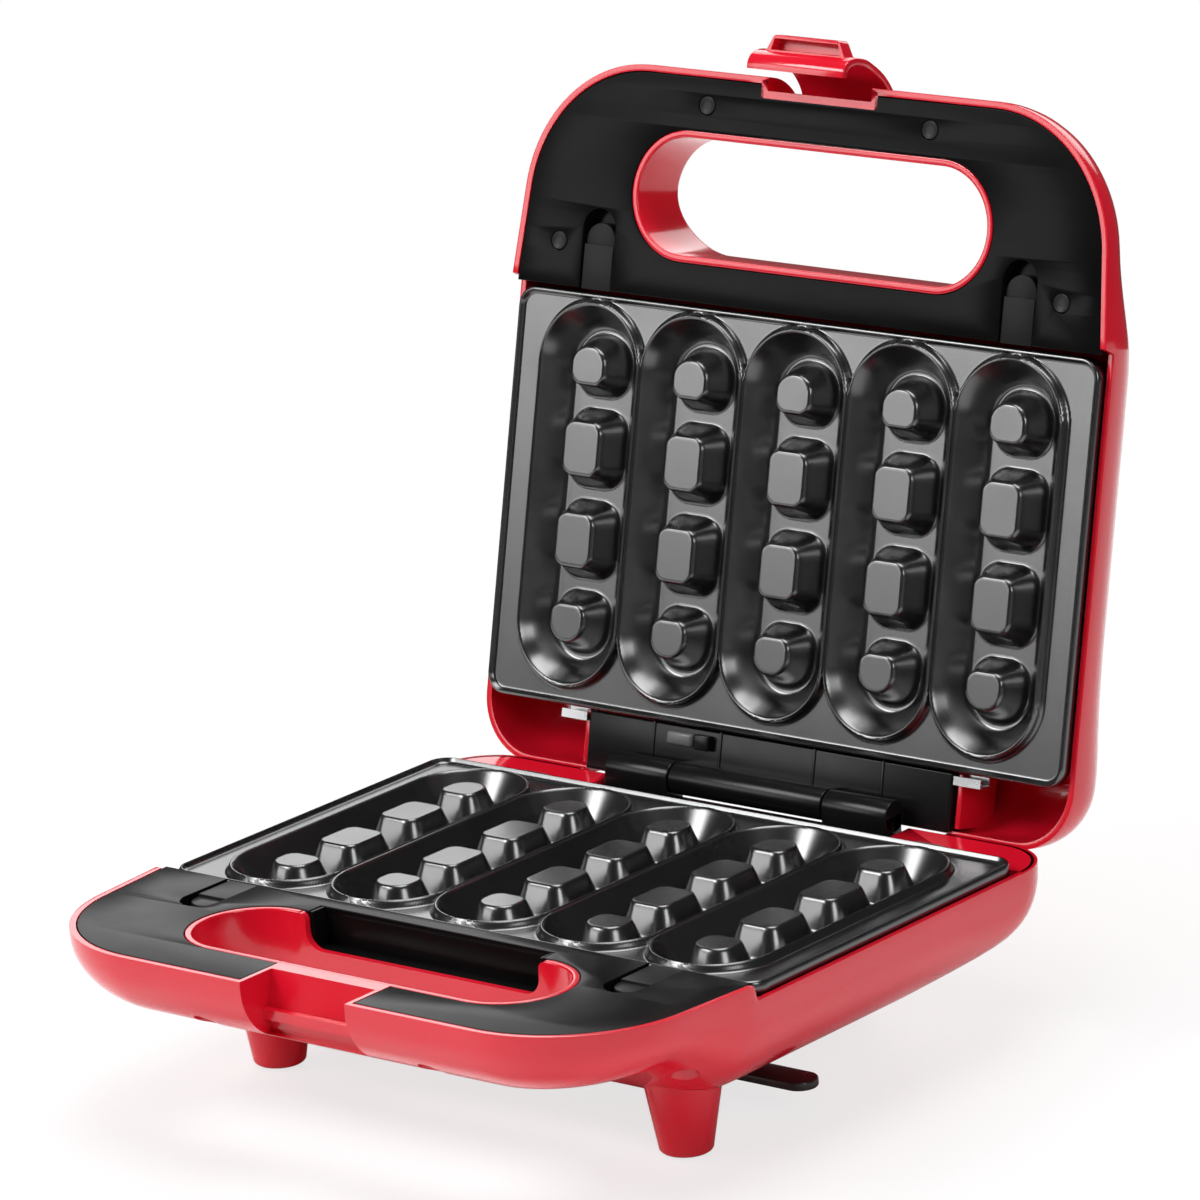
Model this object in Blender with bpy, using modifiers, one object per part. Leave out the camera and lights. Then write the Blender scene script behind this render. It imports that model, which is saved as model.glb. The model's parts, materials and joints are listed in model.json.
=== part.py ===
"""Countertop stick-waffle maker with a hinged lid, five cavities and removable plates.

Metres, +Z up, +Y towards the hinge, X along the hinge. The base stands on z = 0.
Every piece of the two halves is laid out in pan coordinates: x, u and depth.
u is the distance in front of the hinge axis. Depth starts at the plane where the
plates meet and grows into the half that carries the piece.
"""

import math

import bmesh
import bpy
from mathutils import Matrix, Vector

mm = 0.001

# Driving sizes of the whole
hinge_height = 58.4 * mm
closing_gap = 1.8 * mm
closing_height = hinge_height + closing_gap
hinge_to_middle = 73.8 * mm
open_angle = math.radians(103.08)
clearance = 0.3 * mm
overrun = 12.0 * mm

# Plates
plate_half_width = 110.5 * mm
plate_back = 15.9 * mm
plate_length = 129.1 * mm
plate_front = plate_back + plate_length
plate_corner = 4.5 * mm
plate_rim = 0.15 * mm
plate_rim_wide = 2.2 * mm
plate_flange = 3.4 * mm
plate_sheet = 2.4 * mm
plate_skirt = 6.5 * mm
plate_border = 10.5 * mm
cavity_count = 5
cavity_middle_share = 0.512
cavity_pitch = (plate_half_width - plate_border) * 2 / cavity_count
cavity_middle = plate_back + plate_length * cavity_middle_share
cavity_half_length = plate_length / 2 - 5.05 * mm
cavity_half_width = cavity_pitch / 2 - 1.0 * mm
cavity_floor_half = cavity_half_width - 7.0 * mm
cavity_floor = 10.6 * mm
ridge_depth = 0.85 * mm
ridge_wide = 1.6 * mm
boss_top = 0.9 * mm
square_offset_share = 0.2412
round_offset_share = 0.679
square_top_shares = (0.737, 0.2807)
square_foot_shares = (1.158, 0.4134)
round_top_shares = (0.6737, 0.1966)
round_foot_shares = (1.105, 0.326)
square_offset = cavity_half_length * square_offset_share
round_offset = cavity_half_length * round_offset_share


def boss_size(shares):
    return (cavity_half_width * shares[0], cavity_half_length * shares[1])


square_top = boss_size(square_top_shares)
square_foot = boss_size(square_foot_shares)
square_corner = 3.2 * mm
round_top = boss_size(round_top_shares)
round_foot = boss_size(round_foot_shares)
arc_steps = 8
cavity_steps = 5

# Shell
shell_wall = 2.0 * mm
shell_side_gap = 2.4 * mm
handle_length = 72.6 * mm
shell_half_width = plate_half_width + shell_side_gap
shell_front = plate_front + handle_length
shell_back = -4.5 * mm
front_corner_radius = 45.0 * mm
front_flat_half = shell_half_width - front_corner_radius - 2.3 * mm
front_corner_slant = math.radians(7.0)
back_corner_radius = 20.0 * mm
base_depth = 43.0 * mm
lid_depth = 38.0 * mm
handle_depth = 23.0 * mm
back_depth = 30.0 * mm
handle_blend_start = plate_front - 7.0 * mm
handle_blend_end = handle_blend_start + 42.0 * mm
back_blend_start = 8.0 * mm
back_blend_end = 60.0 * mm
side_curve = 45.0 * mm
handle_side_curve = 30.0 * mm
front_curve = 22.0 * mm
back_curve = 16.0 * mm
body_straight = 8.0 * mm
handle_straight = 3.0 * mm
side_stations = 7
corner_steps = 6
curve_steps = 5
across_steps = 6

# Rims and trims
trim_depth = 0.9 * mm
trim_thick = 2.2 * mm
trim_gap = 0.4 * mm
rim_drop = 5.7 * mm
step_front = plate_front + 2.5 * mm
deck_front = plate_back - 0.4 * mm

# Handle hole
hole_middle_share = 0.46
hole_width_share = 0.2507
hole_middle = plate_front + handle_length * hole_middle_share
hole_half_length = shell_half_width - 46.7 * mm
hole_half_width = handle_length * hole_width_share
hole_wall = 2.0 * mm
window_half = hole_half_length - 22.2 * mm
window_depth = 12.0 * mm
window_back = plate_front + 7.4 * mm
tray_wall = 1.5 * mm

# Latch recess of the base and latch pocket of the lid
recess_half = 19.6 * mm
recess_wall = 1.4 * mm
recess_back_share = 0.17355
recess_back = shell_front - handle_length * recess_back_share
recess_floor = 11.6 * mm
lip_thick = 3.2 * mm
lip_front = recess_back + 3.5 * mm
groove_back = recess_back + 0.4 * mm
groove_floor = 19.4 * mm
pocket_back_share = 0.2452
pocket_face = shell_front - 4.8 * mm
pocket_back = shell_front - handle_length * pocket_back_share
pocket_floor = 4.8 * mm
pocket_wall = 2.4 * mm

# Reflector, element and what is wired to them
reflector_depth = 6.9 * mm
reflector_sheet = 0.7 * mm
reflector_edge = 0.1 * mm
reflector_lip = 3.0 * mm
reflector_slope = 5.0 * mm
reflector_floor = 23.0 * mm
reflector_corner = 8.0 * mm
element_radius = 3.2 * mm
element_depth = 17.6 * mm
element_half = plate_half_width - 32.5 * mm
element_far = plate_front - 27.0 * mm
element_bend = 16.0 * mm
element_leg = 28.0 * mm
element_end = plate_back - 5.9 * mm
element_near = element_end + 36.0 * mm
thermostat_radius = 9.0 * mm
thermostat_height = 7.0 * mm
thermostat_place = (22.0 * mm, cavity_middle + 2.0 * mm)
fuse_radius = 2.2 * mm
fuse_length = 16.0 * mm
fuse_place = (-18.0 * mm, cavity_middle + 2.0 * mm)
terminal_size = (32.0 * mm, 12.0 * mm, 11.0 * mm)
terminal_place = (-42.0 * mm, cavity_middle + 22.0 * mm)
lead_radius = 2.0 * mm
lead_x_shares = (0.005, 0.019, 0.065, 0.139, 0.297, 0.501, 0.687, 0.854, 0.956)
lead_u_shares = (0.0, 0.048, 0.112, 0.213, 0.383, 0.596, 0.809, 0.957, 1.0)
lead_depth_shares = (0.372, 0.512, 0.628, 0.674, 0.767, 0.809, 0.823, 0.819, 0.819)

# Plate releases
release_x = plate_half_width - 30.5 * mm
release_half = 5.7 * mm
release_length = 21.0 * mm
release_tail = plate_front + 1.1 * mm
release_tip = release_tail + release_length
release_top = 1.3 * mm
release_thick = 3.0 * mm
release_travel = 4.2 * mm
slot_gap = 0.5 * mm
slot_tip = release_tip + release_travel + clearance
channel_wall = 1.4 * mm
channel_floor = 5.1 * mm
spring_radius = 1.8 * mm
spring_wire = 0.3 * mm
spring_turns = 4
spring_start = release_tail + 7.5 * mm
spring_end = slot_tip - 2.2 * mm
spring_room = 2.5 * mm
lug_half = 1.6 * mm
lug_long = 1.8 * mm
tab_half = 4.0 * mm
tab_reach = 2.4 * mm
tab_thick = 1.5 * mm
catch_x = release_x - 4.5 * mm
catch_half = 5.0 * mm
catch_sheet = 0.8 * mm
catch_back = plate_back - 4.0 * mm
lug_reach = 2.6 * mm

# Hinge
barrel_radius = 5.0 * mm
centre_half = 29.2 * mm
ear_inner = centre_half + 0.6 * mm
ear_outer = 54.0 * mm
pin_radius = 2.0 * mm
pin_half = ear_outer - 1.0 * mm
pin_room = 0.35 * mm
bracket_half = ear_outer + 2.5 * mm
bracket_top = -7.5 * mm
bracket_bottom = -14.0 * mm
bracket_back = 4.2 * mm
bracket_front = -15.0 * mm
bracket_shelf = 2.0 * mm
ear_back = 3.2 * mm
housing_half = plate_half_width - 40.8 * mm
housing_low = 5.8 * mm
housing_high = 13.5 * mm
housing_back = 3.0 * mm
housing_front = -15.3 * mm
notch_depth = 8.5 * mm

# Latch, in the closed lid's own frame
latch_share = 0.2011
latch_u = shell_front - handle_length * latch_share
latch_z = closing_height + 13.8 * mm
latch_half = 18.3 * mm
latch_boss = 2.8 * mm
latch_pin_radius = 1.25 * mm
grip_half = 15.4 * mm
grip_tip_half = 12.6 * mm
grip_reach = 6.0 * mm
grip_thick = 4.4 * mm
grip_wall = 1.3 * mm

# Feet and what is under the base
foot_top_radius = 11.6 * mm
foot_radius = 8.1 * mm
foot_height = 22.0 * mm
front_foot_end = foot_height + 8.0 * mm
back_foot_end = foot_height + 16.0 * mm
foot_bottom = 0.5 * mm
foot_round = 1.6 * mm
back_foot_share = 0.372
front_foot = (shell_half_width - 35.5 * mm, plate_front - 6.5 * mm)
back_foot = (shell_half_width * back_foot_share, plate_back - 0.9 * mm)
pad_radius = 5.4 * mm
pad_thick = 1.7 * mm
wrap_half = shell_half_width - 20.4 * mm
wrap_u = cavity_middle + 14.0 * mm
wrap_wide = 11.0 * mm
wrap_low = 8.4 * mm
wrap_thick = 2.8 * mm
wrap_post_half = 46.0 * mm
wrap_screw_x = 32.0 * mm
wrap_screw_length = 13.4 * mm
gland_x = shell_half_width - 30.9 * mm
gland_depth = 17.0 * mm
gland_radius = 4.2 * mm
gland_flange = 6.0 * mm
gland_bore = 2.6 * mm
gland_length = 9.0 * mm
flange_thick = 1.6 * mm

# Screws and plugs
screw_places = (
    (42.2 * mm, shell_front - 10.6 * mm),
    (shell_half_width - 17.4 * mm, plate_front + 15.2 * mm),
)
screw_head = 2.6 * mm
screw_head_high = 1.7 * mm
screw_shank = 1.4 * mm
screw_length = 9.0 * mm
boss_radius = 3.8 * mm
trim_boss_end = 7.0 * mm
bore_radius = 1.75 * mm
counterbore = 2.95 * mm
counter_depth = 13.8 * mm
plug_radius = 2.85 * mm
plug_thick = 1.8 * mm
lamp_x = 12.0 * mm
lamp_u = plate_front - 23.0 * mm
lamp_radius = 4.0 * mm
lamp_proud = 1.0 * mm
lamp_length = 7.0 * mm
lamp_flange = 1.2 * mm

base_side = 1
lid_side = -1
closing = closing_height - hinge_height

for old in list(bpy.data.objects):
    bpy.data.objects.remove(old, do_unlink=True)

parts = bpy.data.collections.new("waffle_stick_maker")
cutters = bpy.data.collections.new("cutters")
bpy.context.scene.collection.children.link(parts)
bpy.context.scene.collection.children.link(cutters)


def material(name, colour, roughness, metallic=0.0):
    made = bpy.data.materials.new(name)
    made.use_nodes = True
    shader = made.node_tree.nodes["Principled BSDF"]
    shader.inputs["Base Color"].default_value = (*colour, 1.0)
    shader.inputs["Roughness"].default_value = roughness
    shader.inputs["Metallic"].default_value = metallic
    made.diffuse_color = (*colour, 1.0)
    return made


red = material("red_gloss_plastic", (0.62, 0.012, 0.025), 0.22)
black = material("black_trim_plastic", (0.012, 0.012, 0.014), 0.35)
coated = material("black_nonstick_coating", (0.02, 0.02, 0.022), 0.4, 0.3)
bright = material("bright_steel", (0.62, 0.62, 0.63), 0.3, 1.0)
dull = material("element_sheath", (0.28, 0.27, 0.26), 0.5, 1.0)
grey = material("grey_plug", (0.10, 0.10, 0.105), 0.5)
rubber = material("black_rubber", (0.03, 0.03, 0.03), 0.8)
pale = material("pale_moulding", (0.8, 0.78, 0.74), 0.5)
lamp_red = material("red_lens", (0.7, 0.03, 0.02), 0.15)
lamp_green = material("green_lens", (0.04, 0.5, 0.08), 0.15)


def empty(name, place, angle=0.0, parent=None):
    made = bpy.data.objects.new(name, None)
    made.location = place
    made.rotation_euler = (angle, 0.0, 0.0)
    made.parent = parent
    made.empty_display_size = barrel_radius
    parts.objects.link(made)
    return made


hinge_place = (0.0, hinge_to_middle, hinge_height)
base_frame = empty("base_frame", hinge_place)
lid_frame = empty("lid_pivot", hinge_place, -open_angle)
latch_frame = empty("latch_pivot", (0.0, -latch_u, latch_z - hinge_height), 0.0, lid_frame)
frames = {base_side: base_frame, lid_side: lid_frame}


def pan(x, u, depth, side):
    """A point of pan coordinates in the frame of its half, whose origin is on the hinge axis."""
    return Vector((x, -u, closing - side * depth))


def finish(name, bm, parent, look=None):
    """Close a bmesh into an object: a part when it has a look, otherwise a cutter."""
    bmesh.ops.recalc_face_normals(bm, faces=bm.faces)
    mesh = bpy.data.meshes.new(name)
    bm.to_mesh(mesh)
    bm.free()
    return place_mesh(name, mesh, parent, look)


def place_mesh(name, mesh, parent, look=None):
    made = bpy.data.objects.new(name, mesh)
    made.parent = parent
    if look is None:
        cutters.objects.link(made)
        made.hide_render = True
        made.display_type = "WIRE"
    else:
        parts.objects.link(made)
        mesh.materials.append(look)
        mesh.shade_smooth()
        mesh.set_sharp_from_angle(angle=math.radians(32.0))
    return made


def boolean(target, other, operation):
    step = target.modifiers.new(operation.lower() + "_" + other.name, "BOOLEAN")
    step.operation = operation
    step.solver = "EXACT"
    step.object = other
    return target


def cut(target, *others):
    for other in others:
        boolean(target, other, "DIFFERENCE")


def join(target, *others):
    for other in others:
        boolean(target, other, "UNION")


def box_mesh(bm, low, high):
    middle = (low + high) / 2
    size = Vector((abs(high.x - low.x), abs(high.y - low.y), abs(high.z - low.z)))
    matrix = Matrix.Translation(middle) @ Matrix.Diagonal((*size, 1.0))
    bmesh.ops.create_cube(bm, size=1.0, matrix=matrix)


def pan_box(name, x_range, u_range, depth_range, side, look=None):
    bm = bmesh.new()
    low = pan(x_range[0], u_range[0], depth_range[0], side)
    high = pan(x_range[1], u_range[1], depth_range[1], side)
    box_mesh(bm, low, high)
    return finish(name, bm, frames[side], look)


def rod(name, start, end, radius, parent, look=None, sides=16, end_radius=None):
    """A round bar or cone frustum between two points."""
    bm = bmesh.new()
    along = end - start
    turn = along.to_track_quat("Z", "Y").to_matrix().to_4x4()
    matrix = Matrix.Translation((start + end) / 2) @ turn
    bmesh.ops.create_cone(
        bm, cap_ends=True, segments=sides, radius1=radius,
        radius2=radius if end_radius is None else end_radius,
        depth=along.length, matrix=matrix,
    )
    return finish(name, bm, parent, look)


def pan_rod(name, x, u, depth_range, radius, side, look=None, sides=16):
    start = pan(x, u, depth_range[0], side)
    end = pan(x, u, depth_range[1], side)
    return rod(name, start, end, radius, frames[side], look, sides)


def add_loft(bm, rings):
    """Join closed rings of the same length into one solid with flat ends."""
    made = [[bm.verts.new(point) for point in ring] for ring in rings]
    count = len(made[0])
    for lower, upper in zip(made, made[1:]):
        for i in range(count):
            j = (i + 1) % count
            bm.faces.new((lower[i], lower[j], upper[j], upper[i]))
    bm.faces.new(list(reversed(made[0])))
    bm.faces.new(made[-1])


def arc(centre_x, centre_u, radius, start, end, steps):
    points = []
    for k in range(steps + 1):
        angle = start + (end - start) * k / steps
        points.append((centre_x + radius * math.cos(angle), centre_u + radius * math.sin(angle)))
    return points


def rounded_outline(x, u, half_x, half_u, radius, steps=4):
    """A rectangle with round corners, or an obround when the radius is a half side."""
    corners = ((1, -1, -90), (1, 1, 0), (-1, 1, 90), (-1, -1, 180))
    points = []
    for sign_x, sign_u, start in corners:
        corner_x = x + sign_x * (half_x - radius)
        corner_u = u + sign_u * (half_u - radius)
        first = math.radians(start)
        points += arc(corner_x, corner_u, radius, first, first + math.pi / 2, steps)
    return [p for p, q in zip(points, points[1:] + points[:1]) if math.dist(p, q) > clearance / 9]


def slab(name, outline, depth_range, side, look=None):
    """A flat outline with thickness: a filled 2D curve turned into a welded mesh."""
    curve = bpy.data.curves.new(name, "CURVE")
    curve.dimensions = "2D"
    curve.fill_mode = "BOTH"
    curve.extrude = abs(depth_range[1] - depth_range[0]) / 2
    spline = curve.splines.new("POLY")
    spline.points.add(len(outline) - 1)
    for point, (x, u) in zip(spline.points, outline):
        point.co = (x, -u, 0.0, 1.0)
    spline.use_cyclic_u = True
    flat = bpy.data.objects.new(name + "_outline", curve)
    bpy.context.scene.collection.objects.link(flat)
    evaluated = flat.evaluated_get(bpy.context.evaluated_depsgraph_get())
    mesh = bpy.data.meshes.new_from_object(evaluated)
    bpy.data.objects.remove(flat, do_unlink=True)
    bpy.data.curves.remove(curve)
    bm = bmesh.new()
    bm.from_mesh(mesh)
    bpy.data.meshes.remove(mesh)
    bmesh.ops.remove_doubles(bm, verts=bm.verts, dist=clearance / 100)
    middle = (depth_range[0] + depth_range[1]) / 2
    bmesh.ops.translate(bm, verts=bm.verts, vec=(0.0, 0.0, pan(0.0, 0.0, middle, side).z))
    return finish(name, bm, frames[side], look)


def tube(name, points, radius, parent, look, resolution=2):
    """A round wire along points: a bevelled curve turned into a welded mesh."""
    curve = bpy.data.curves.new(name, "CURVE")
    curve.dimensions = "3D"
    curve.bevel_depth = radius
    curve.bevel_resolution = resolution
    curve.use_fill_caps = True
    spline = curve.splines.new("POLY")
    spline.points.add(len(points) - 1)
    for point, place in zip(spline.points, points):
        point.co = (*place, 1.0)
    wire = bpy.data.objects.new(name + "_path", curve)
    bpy.context.scene.collection.objects.link(wire)
    evaluated = wire.evaluated_get(bpy.context.evaluated_depsgraph_get())
    mesh = bpy.data.meshes.new_from_object(evaluated)
    bpy.data.objects.remove(wire, do_unlink=True)
    bpy.data.curves.remove(curve)
    bm = bmesh.new()
    bm.from_mesh(mesh)
    bpy.data.meshes.remove(mesh)
    bmesh.ops.remove_doubles(bm, verts=bm.verts, dist=clearance / 100)
    return finish(name, bm, parent, look)


def smooth(value):
    value = max(0.0, min(1.0, value))
    return value * value * (3 - 2 * value)


def blend(low, high, start, end, u):
    return low + (high - low) * smooth((u - start) / (end - start))


def body_depth(u, side):
    """Depth of the shell's bottom at a distance in front of the hinge."""
    deep = base_depth if side == base_side else lid_depth
    if u > (back_blend_end + handle_blend_start) / 2:
        return blend(deep, handle_depth, handle_blend_start, handle_blend_end, u)
    return blend(back_depth, deep, back_blend_start, back_blend_end, u)


def straight_depth(u):
    return blend(body_straight, handle_straight, handle_blend_start, handle_blend_end, u)


def shell_stations():
    """The right half of the outline, back to front: x, u, outward normal and curve inset."""
    stations = []
    centre_x = shell_half_width - back_corner_radius
    centre_u = shell_back + back_corner_radius
    for k in range(corner_steps + 1):
        angle = -math.pi / 2 + math.pi / 2 * k / corner_steps
        normal = (math.cos(angle), math.sin(angle))
        stations.append((
            centre_x + back_corner_radius * normal[0],
            centre_u + back_corner_radius * normal[1], normal, back_curve,
        ))
    side_end = step_front
    for k in range(1, side_stations + 1):
        u = centre_u + (side_end - centre_u) * k / side_stations
        inset = blend(back_curve, side_curve, centre_u, back_blend_end, u)
        inset = min(inset, blend(side_curve, handle_side_curve, handle_blend_start, handle_blend_end, u))
        stations.append((shell_half_width, u, (1.0, 0.0), inset))
    corner_u = shell_front - front_corner_radius
    for k in range(corner_steps + 1):
        share = k / corner_steps
        angle = -front_corner_slant + (math.pi / 2 + front_corner_slant) * share
        normal = (math.cos(angle), math.sin(angle))
        inset = handle_side_curve + (front_curve - handle_side_curve) * smooth(share)
        stations.append((
            front_flat_half + front_corner_radius * normal[0],
            corner_u + front_corner_radius * normal[1], normal, inset,
        ))
    return stations


def outline_loop(stations, inset=0.0):
    """The whole outline as x, u points, drawn in by a fixed inset."""
    right = [(x - n[0] * inset, u - n[1] * inset) for x, u, n, _ in stations]
    return right + [(-x, u) for x, u in reversed(right)]


def shell_surface(bm, side, closed):
    """Rings of the outline that turn in like a bowl, and rows that close its bottom.

    Each ring is the outline moved in along its normals. The rows join the last ring's
    right and left points, so the bottom follows the depth at each distance. The closed
    form ends half way through the wall, to trim what is joined to the inside.
    """
    stations = shell_stations()
    shrink = shell_wall / 2 if closed else 0.0

    def ring(step):
        points = []
        for x, u, normal, inset in stations:
            if step < 0:
                depth = trim_depth - (overrun if closed else 0.0)
                move = shrink
            else:
                angle = math.pi / 2 * step / curve_steps
                straight = straight_depth(u)
                deep = body_depth(u, side) - shrink - straight
                depth = straight + deep * math.sin(angle)
                move = shrink + (inset - shrink) * (1 - math.cos(angle))
            points.append((x - normal[0] * move, u - normal[1] * move, depth))
        return points

    def full_row(point):
        x, u, depth = point
        row = []
        for k in range(across_steps + 1):
            row.append(bm.verts.new(pan(x - 2 * x * k / across_steps, u, depth, side)))
        return row

    loops = []
    for step in range(-1, curve_steps):
        points = ring(step)
        first = full_row(points[0])
        last = full_row(points[-1])
        right = [bm.verts.new(pan(*p, side)) for p in points[1:-1]]
        left = [bm.verts.new(pan(-p[0], p[1], p[2], side)) for p in points[1:-1]]
        loops.append(list(reversed(first)) + right + last + list(reversed(left)))
    rows = [full_row(point) for point in ring(curve_steps)]
    right = [row[0] for row in rows[1:-1]]
    left = [row[-1] for row in rows[1:-1]]
    loops.append(list(reversed(rows[0])) + right + rows[-1] + list(reversed(left)))
    count = len(loops[0])
    for upper, lower in zip(loops, loops[1:]):
        for i in range(count):
            j = (i + 1) % count
            bm.faces.new((upper[i], upper[j], lower[j], lower[i]))
    for near, far in zip(rows, rows[1:]):
        for k in range(across_steps):
            bm.faces.new((near[k], near[k + 1], far[k + 1], far[k]))
    if closed:
        bm.faces.new(loops[0])


def outward(bm, side):
    """Point the faces of an open pan away from its inside."""
    bmesh.ops.recalc_face_normals(bm, faces=bm.faces)
    lowest = min(bm.faces, key=lambda face: side * face.calc_center_median().z)
    if lowest.normal.z * side > 0:
        bmesh.ops.reverse_faces(bm, faces=bm.faces)


def side_name(sign):
    return "left" if sign < 0 else "right"


def open_shell(name, side, look):
    bm = bmesh.new()
    shell_surface(bm, side, False)
    outward(bm, side)
    mesh = bpy.data.meshes.new(name)
    bm.to_mesh(mesh)
    bm.free()
    made = place_mesh(name, mesh, frames[side], look)
    thick = made.modifiers.new("wall", "SOLIDIFY")
    thick.thickness = shell_wall
    thick.offset = -1.0
    thick.use_even_offset = True
    return made


def solid_shell(name, side):
    bm = bmesh.new()
    shell_surface(bm, side, True)
    return finish(name, bm, frames[side])


def within(piece, solid):
    boolean(piece, solid, "INTERSECT")
    return piece


def bored_bosses(housing, solid, side, label):
    """Screw bosses that rise from the shell to the trim, with their bores."""
    for k, (x, u) in enumerate(screw_places):
        for sign in (-1, 1):
            name = f"{label}_boss_{k}_{sign}"
            reach = body_depth(0.0, side) + base_depth
            boss = pan_rod(name, sign * x, u, (trim_boss_end + clearance, reach), boss_radius, side)
            join(housing, within(boss, solid))
    for k, (x, u) in enumerate(screw_places):
        for sign in (-1, 1):
            name = f"{label}_bore_{k}_{sign}"
            if side == base_side:
                bore = pan_rod(name, sign * x, u, (trim_depth, reach), bore_radius, side, sides=12)
                wide = pan_rod(name + "_wide", sign * x, u, (counter_depth, reach), counterbore, side)
                cut(housing, bore, wide)
            else:
                end = counter_depth + clearance
                cut(housing, pan_rod(name, sign * x, u, (trim_depth, end), bore_radius, side, sides=12))


def make_housing(name, side):
    label = "lower" if side == base_side else "upper"
    housing = open_shell(name, side, red)
    solid = solid_shell(label + "_solid", side)
    far = base_depth + overrun

    grown = hole_wall
    outline = rounded_outline(
        0.0, hole_middle, hole_half_length + grown, hole_half_width + grown,
        hole_half_width + grown, arc_steps,
    )
    sleeve = slab(label + "_sleeve", outline, (trim_depth, far), side)
    join(housing, within(sleeve, solid))

    if side == base_side:
        recess = pan_box(
            "recess_liner", (-recess_half - recess_wall, recess_half + recess_wall),
            (hole_middle + hole_half_width + hole_wall / 2, shell_front + overrun),
            (trim_depth, groove_floor + recess_wall), side,
        )
        join(housing, within(recess, solid))
        deck = pan_box(
            "deck", (-shell_half_width, shell_half_width),
            (shell_back, deck_front), (rim_drop, rim_drop + shell_wall), side,
        )
        join(housing, within(deck, solid))
        for row, x, u, end in (("front", *front_foot, front_foot_end), ("back", *back_foot, back_foot_end)):
            for sign in (-1, 1):
                leg = foot(f"{row}_foot_{side_name(sign)}", sign * x, u, end)
                cut(leg, solid)
                join(housing, leg)
    else:
        reach = recess_half + pocket_wall
        under_trim = trim_depth + trim_thick + clearance
        pocket = pan_box(
            "pocket_liner", (-reach, reach), (pocket_back - pocket_wall, shell_front + overrun),
            (under_trim, far), side,
        )
        face = pan_box(
            "pocket_front", (-reach, reach), (pocket_face - recess_wall, shell_front + overrun),
            (trim_depth, under_trim + clearance), side,
        )
        join(housing, within(pocket, solid), within(face, solid))
    bored_bosses(housing, solid, side, label)

    opening = rounded_outline(
        0.0, hole_middle, hole_half_length, hole_half_width, hole_half_width, arc_steps,
    )
    cut(housing, slab(label + "_hole", opening, (-overrun, far), side))
    rim = pan_box(
        label + "_rim_cut", (-shell_half_width - overrun, shell_half_width + overrun),
        (shell_back - overrun, step_front), (-overrun, rim_drop), side,
    )
    cut(housing, rim)
    if side == base_side:
        cut_base(housing)
    else:
        cut_lid(housing)
    return housing


def cut_base(housing):
    side = base_side
    bracket_depth = closing - bracket_bottom + clearance
    cut(
        housing,
        pan_box(
            "window_cut", (-window_half, window_half), (window_back, hole_middle - hole_half_width / 2),
            (-overrun, window_depth), side,
        ),
        pan_box(
            "recess_cut", (-recess_half, recess_half), (recess_back, shell_front + overrun),
            (-overrun, recess_floor), side,
        ),
        pan_box(
            "lip_cut", (-recess_half, recess_half), (lip_front, shell_front + overrun),
            (-overrun, base_depth), side,
        ),
        pan_box(
            "groove_cut", (-recess_half, recess_half), (groove_back, shell_front),
            (recess_floor + lip_thick, groove_floor), side,
        ),
        pan_box(
            "bracket_cut", (-bracket_half - clearance, bracket_half + clearance),
            (shell_back - overrun, deck_front + overrun), (-overrun, bracket_depth), side,
        ),
        pan_box(
            "sweep_notch", (-housing_half - 2 * clearance, housing_half + 2 * clearance),
            (shell_back - overrun, -housing_back + clearance), (-overrun, notch_depth), side,
        ),
    )
    for sign in (-1, 1):
        catch_room = catch_half + 2 * clearance
        cut(housing, pan_box(
            f"deck_slot_{sign}", (sign * catch_x - catch_room, sign * catch_x + catch_room),
            (catch_back - 2 * clearance, deck_front + overrun), (0.0, rim_drop + 2 * shell_wall), side,
        ))
        cut(housing, rod(
            f"wrap_screw_hole_{sign}",
            pan(sign * wrap_screw_x, wrap_u, base_depth - 2 * shell_wall, side),
            pan(sign * wrap_screw_x, wrap_u, base_depth + overrun, side),
            bore_radius, base_frame, sides=12,
        ))
    cut(housing, gland_rod("gland_hole", -gland_length, gland_length, gland_radius + clearance))
    for x, u in (front_foot, back_foot):
        for sign in (-1, 1):
            cut(housing, rod(
                "pad_hole", foot_point(sign * x, u, -overrun),
                foot_point(sign * x, u, pad_thick + clearance), pad_radius + clearance, base_frame,
            ))


def cut_lid(housing):
    side = lid_side
    cut(
        housing,
        pan_box(
            "notch_cut", (-recess_half, recess_half), (pocket_face, shell_front + overrun),
            (-overrun, lid_depth + overrun), side,
        ),
        pan_box(
            "pocket_cut", (-recess_half, recess_half), (pocket_back, shell_front + overrun),
            (pocket_floor, lid_depth + overrun), side,
        ),
        pan_box(
            "hinge_cut", (-housing_half - clearance, housing_half + clearance),
            (shell_back - overrun, -housing_back + 4 * clearance),
            (-overrun, housing_high - closing + clearance), side,
        ),
    )
    reach = recess_half + pocket_wall + clearance
    start = Vector((-reach, -latch_u, latch_z - hinge_height))
    end = Vector((reach, -latch_u, latch_z - hinge_height))
    cut(housing, rod("latch_pin_hole", start, end, latch_pin_radius + clearance, lid_frame, sides=12))
    for sign in (-1, 1):
        cut(housing, pan_rod(
            f"lamp_hole_{sign}", sign * lamp_x, lamp_u,
            (lid_depth - 2 * shell_wall, lid_depth + overrun), lamp_radius + clearance, side,
        ))


def foot_point(x, u, height):
    return Vector((x, -u, height - hinge_height))


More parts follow.
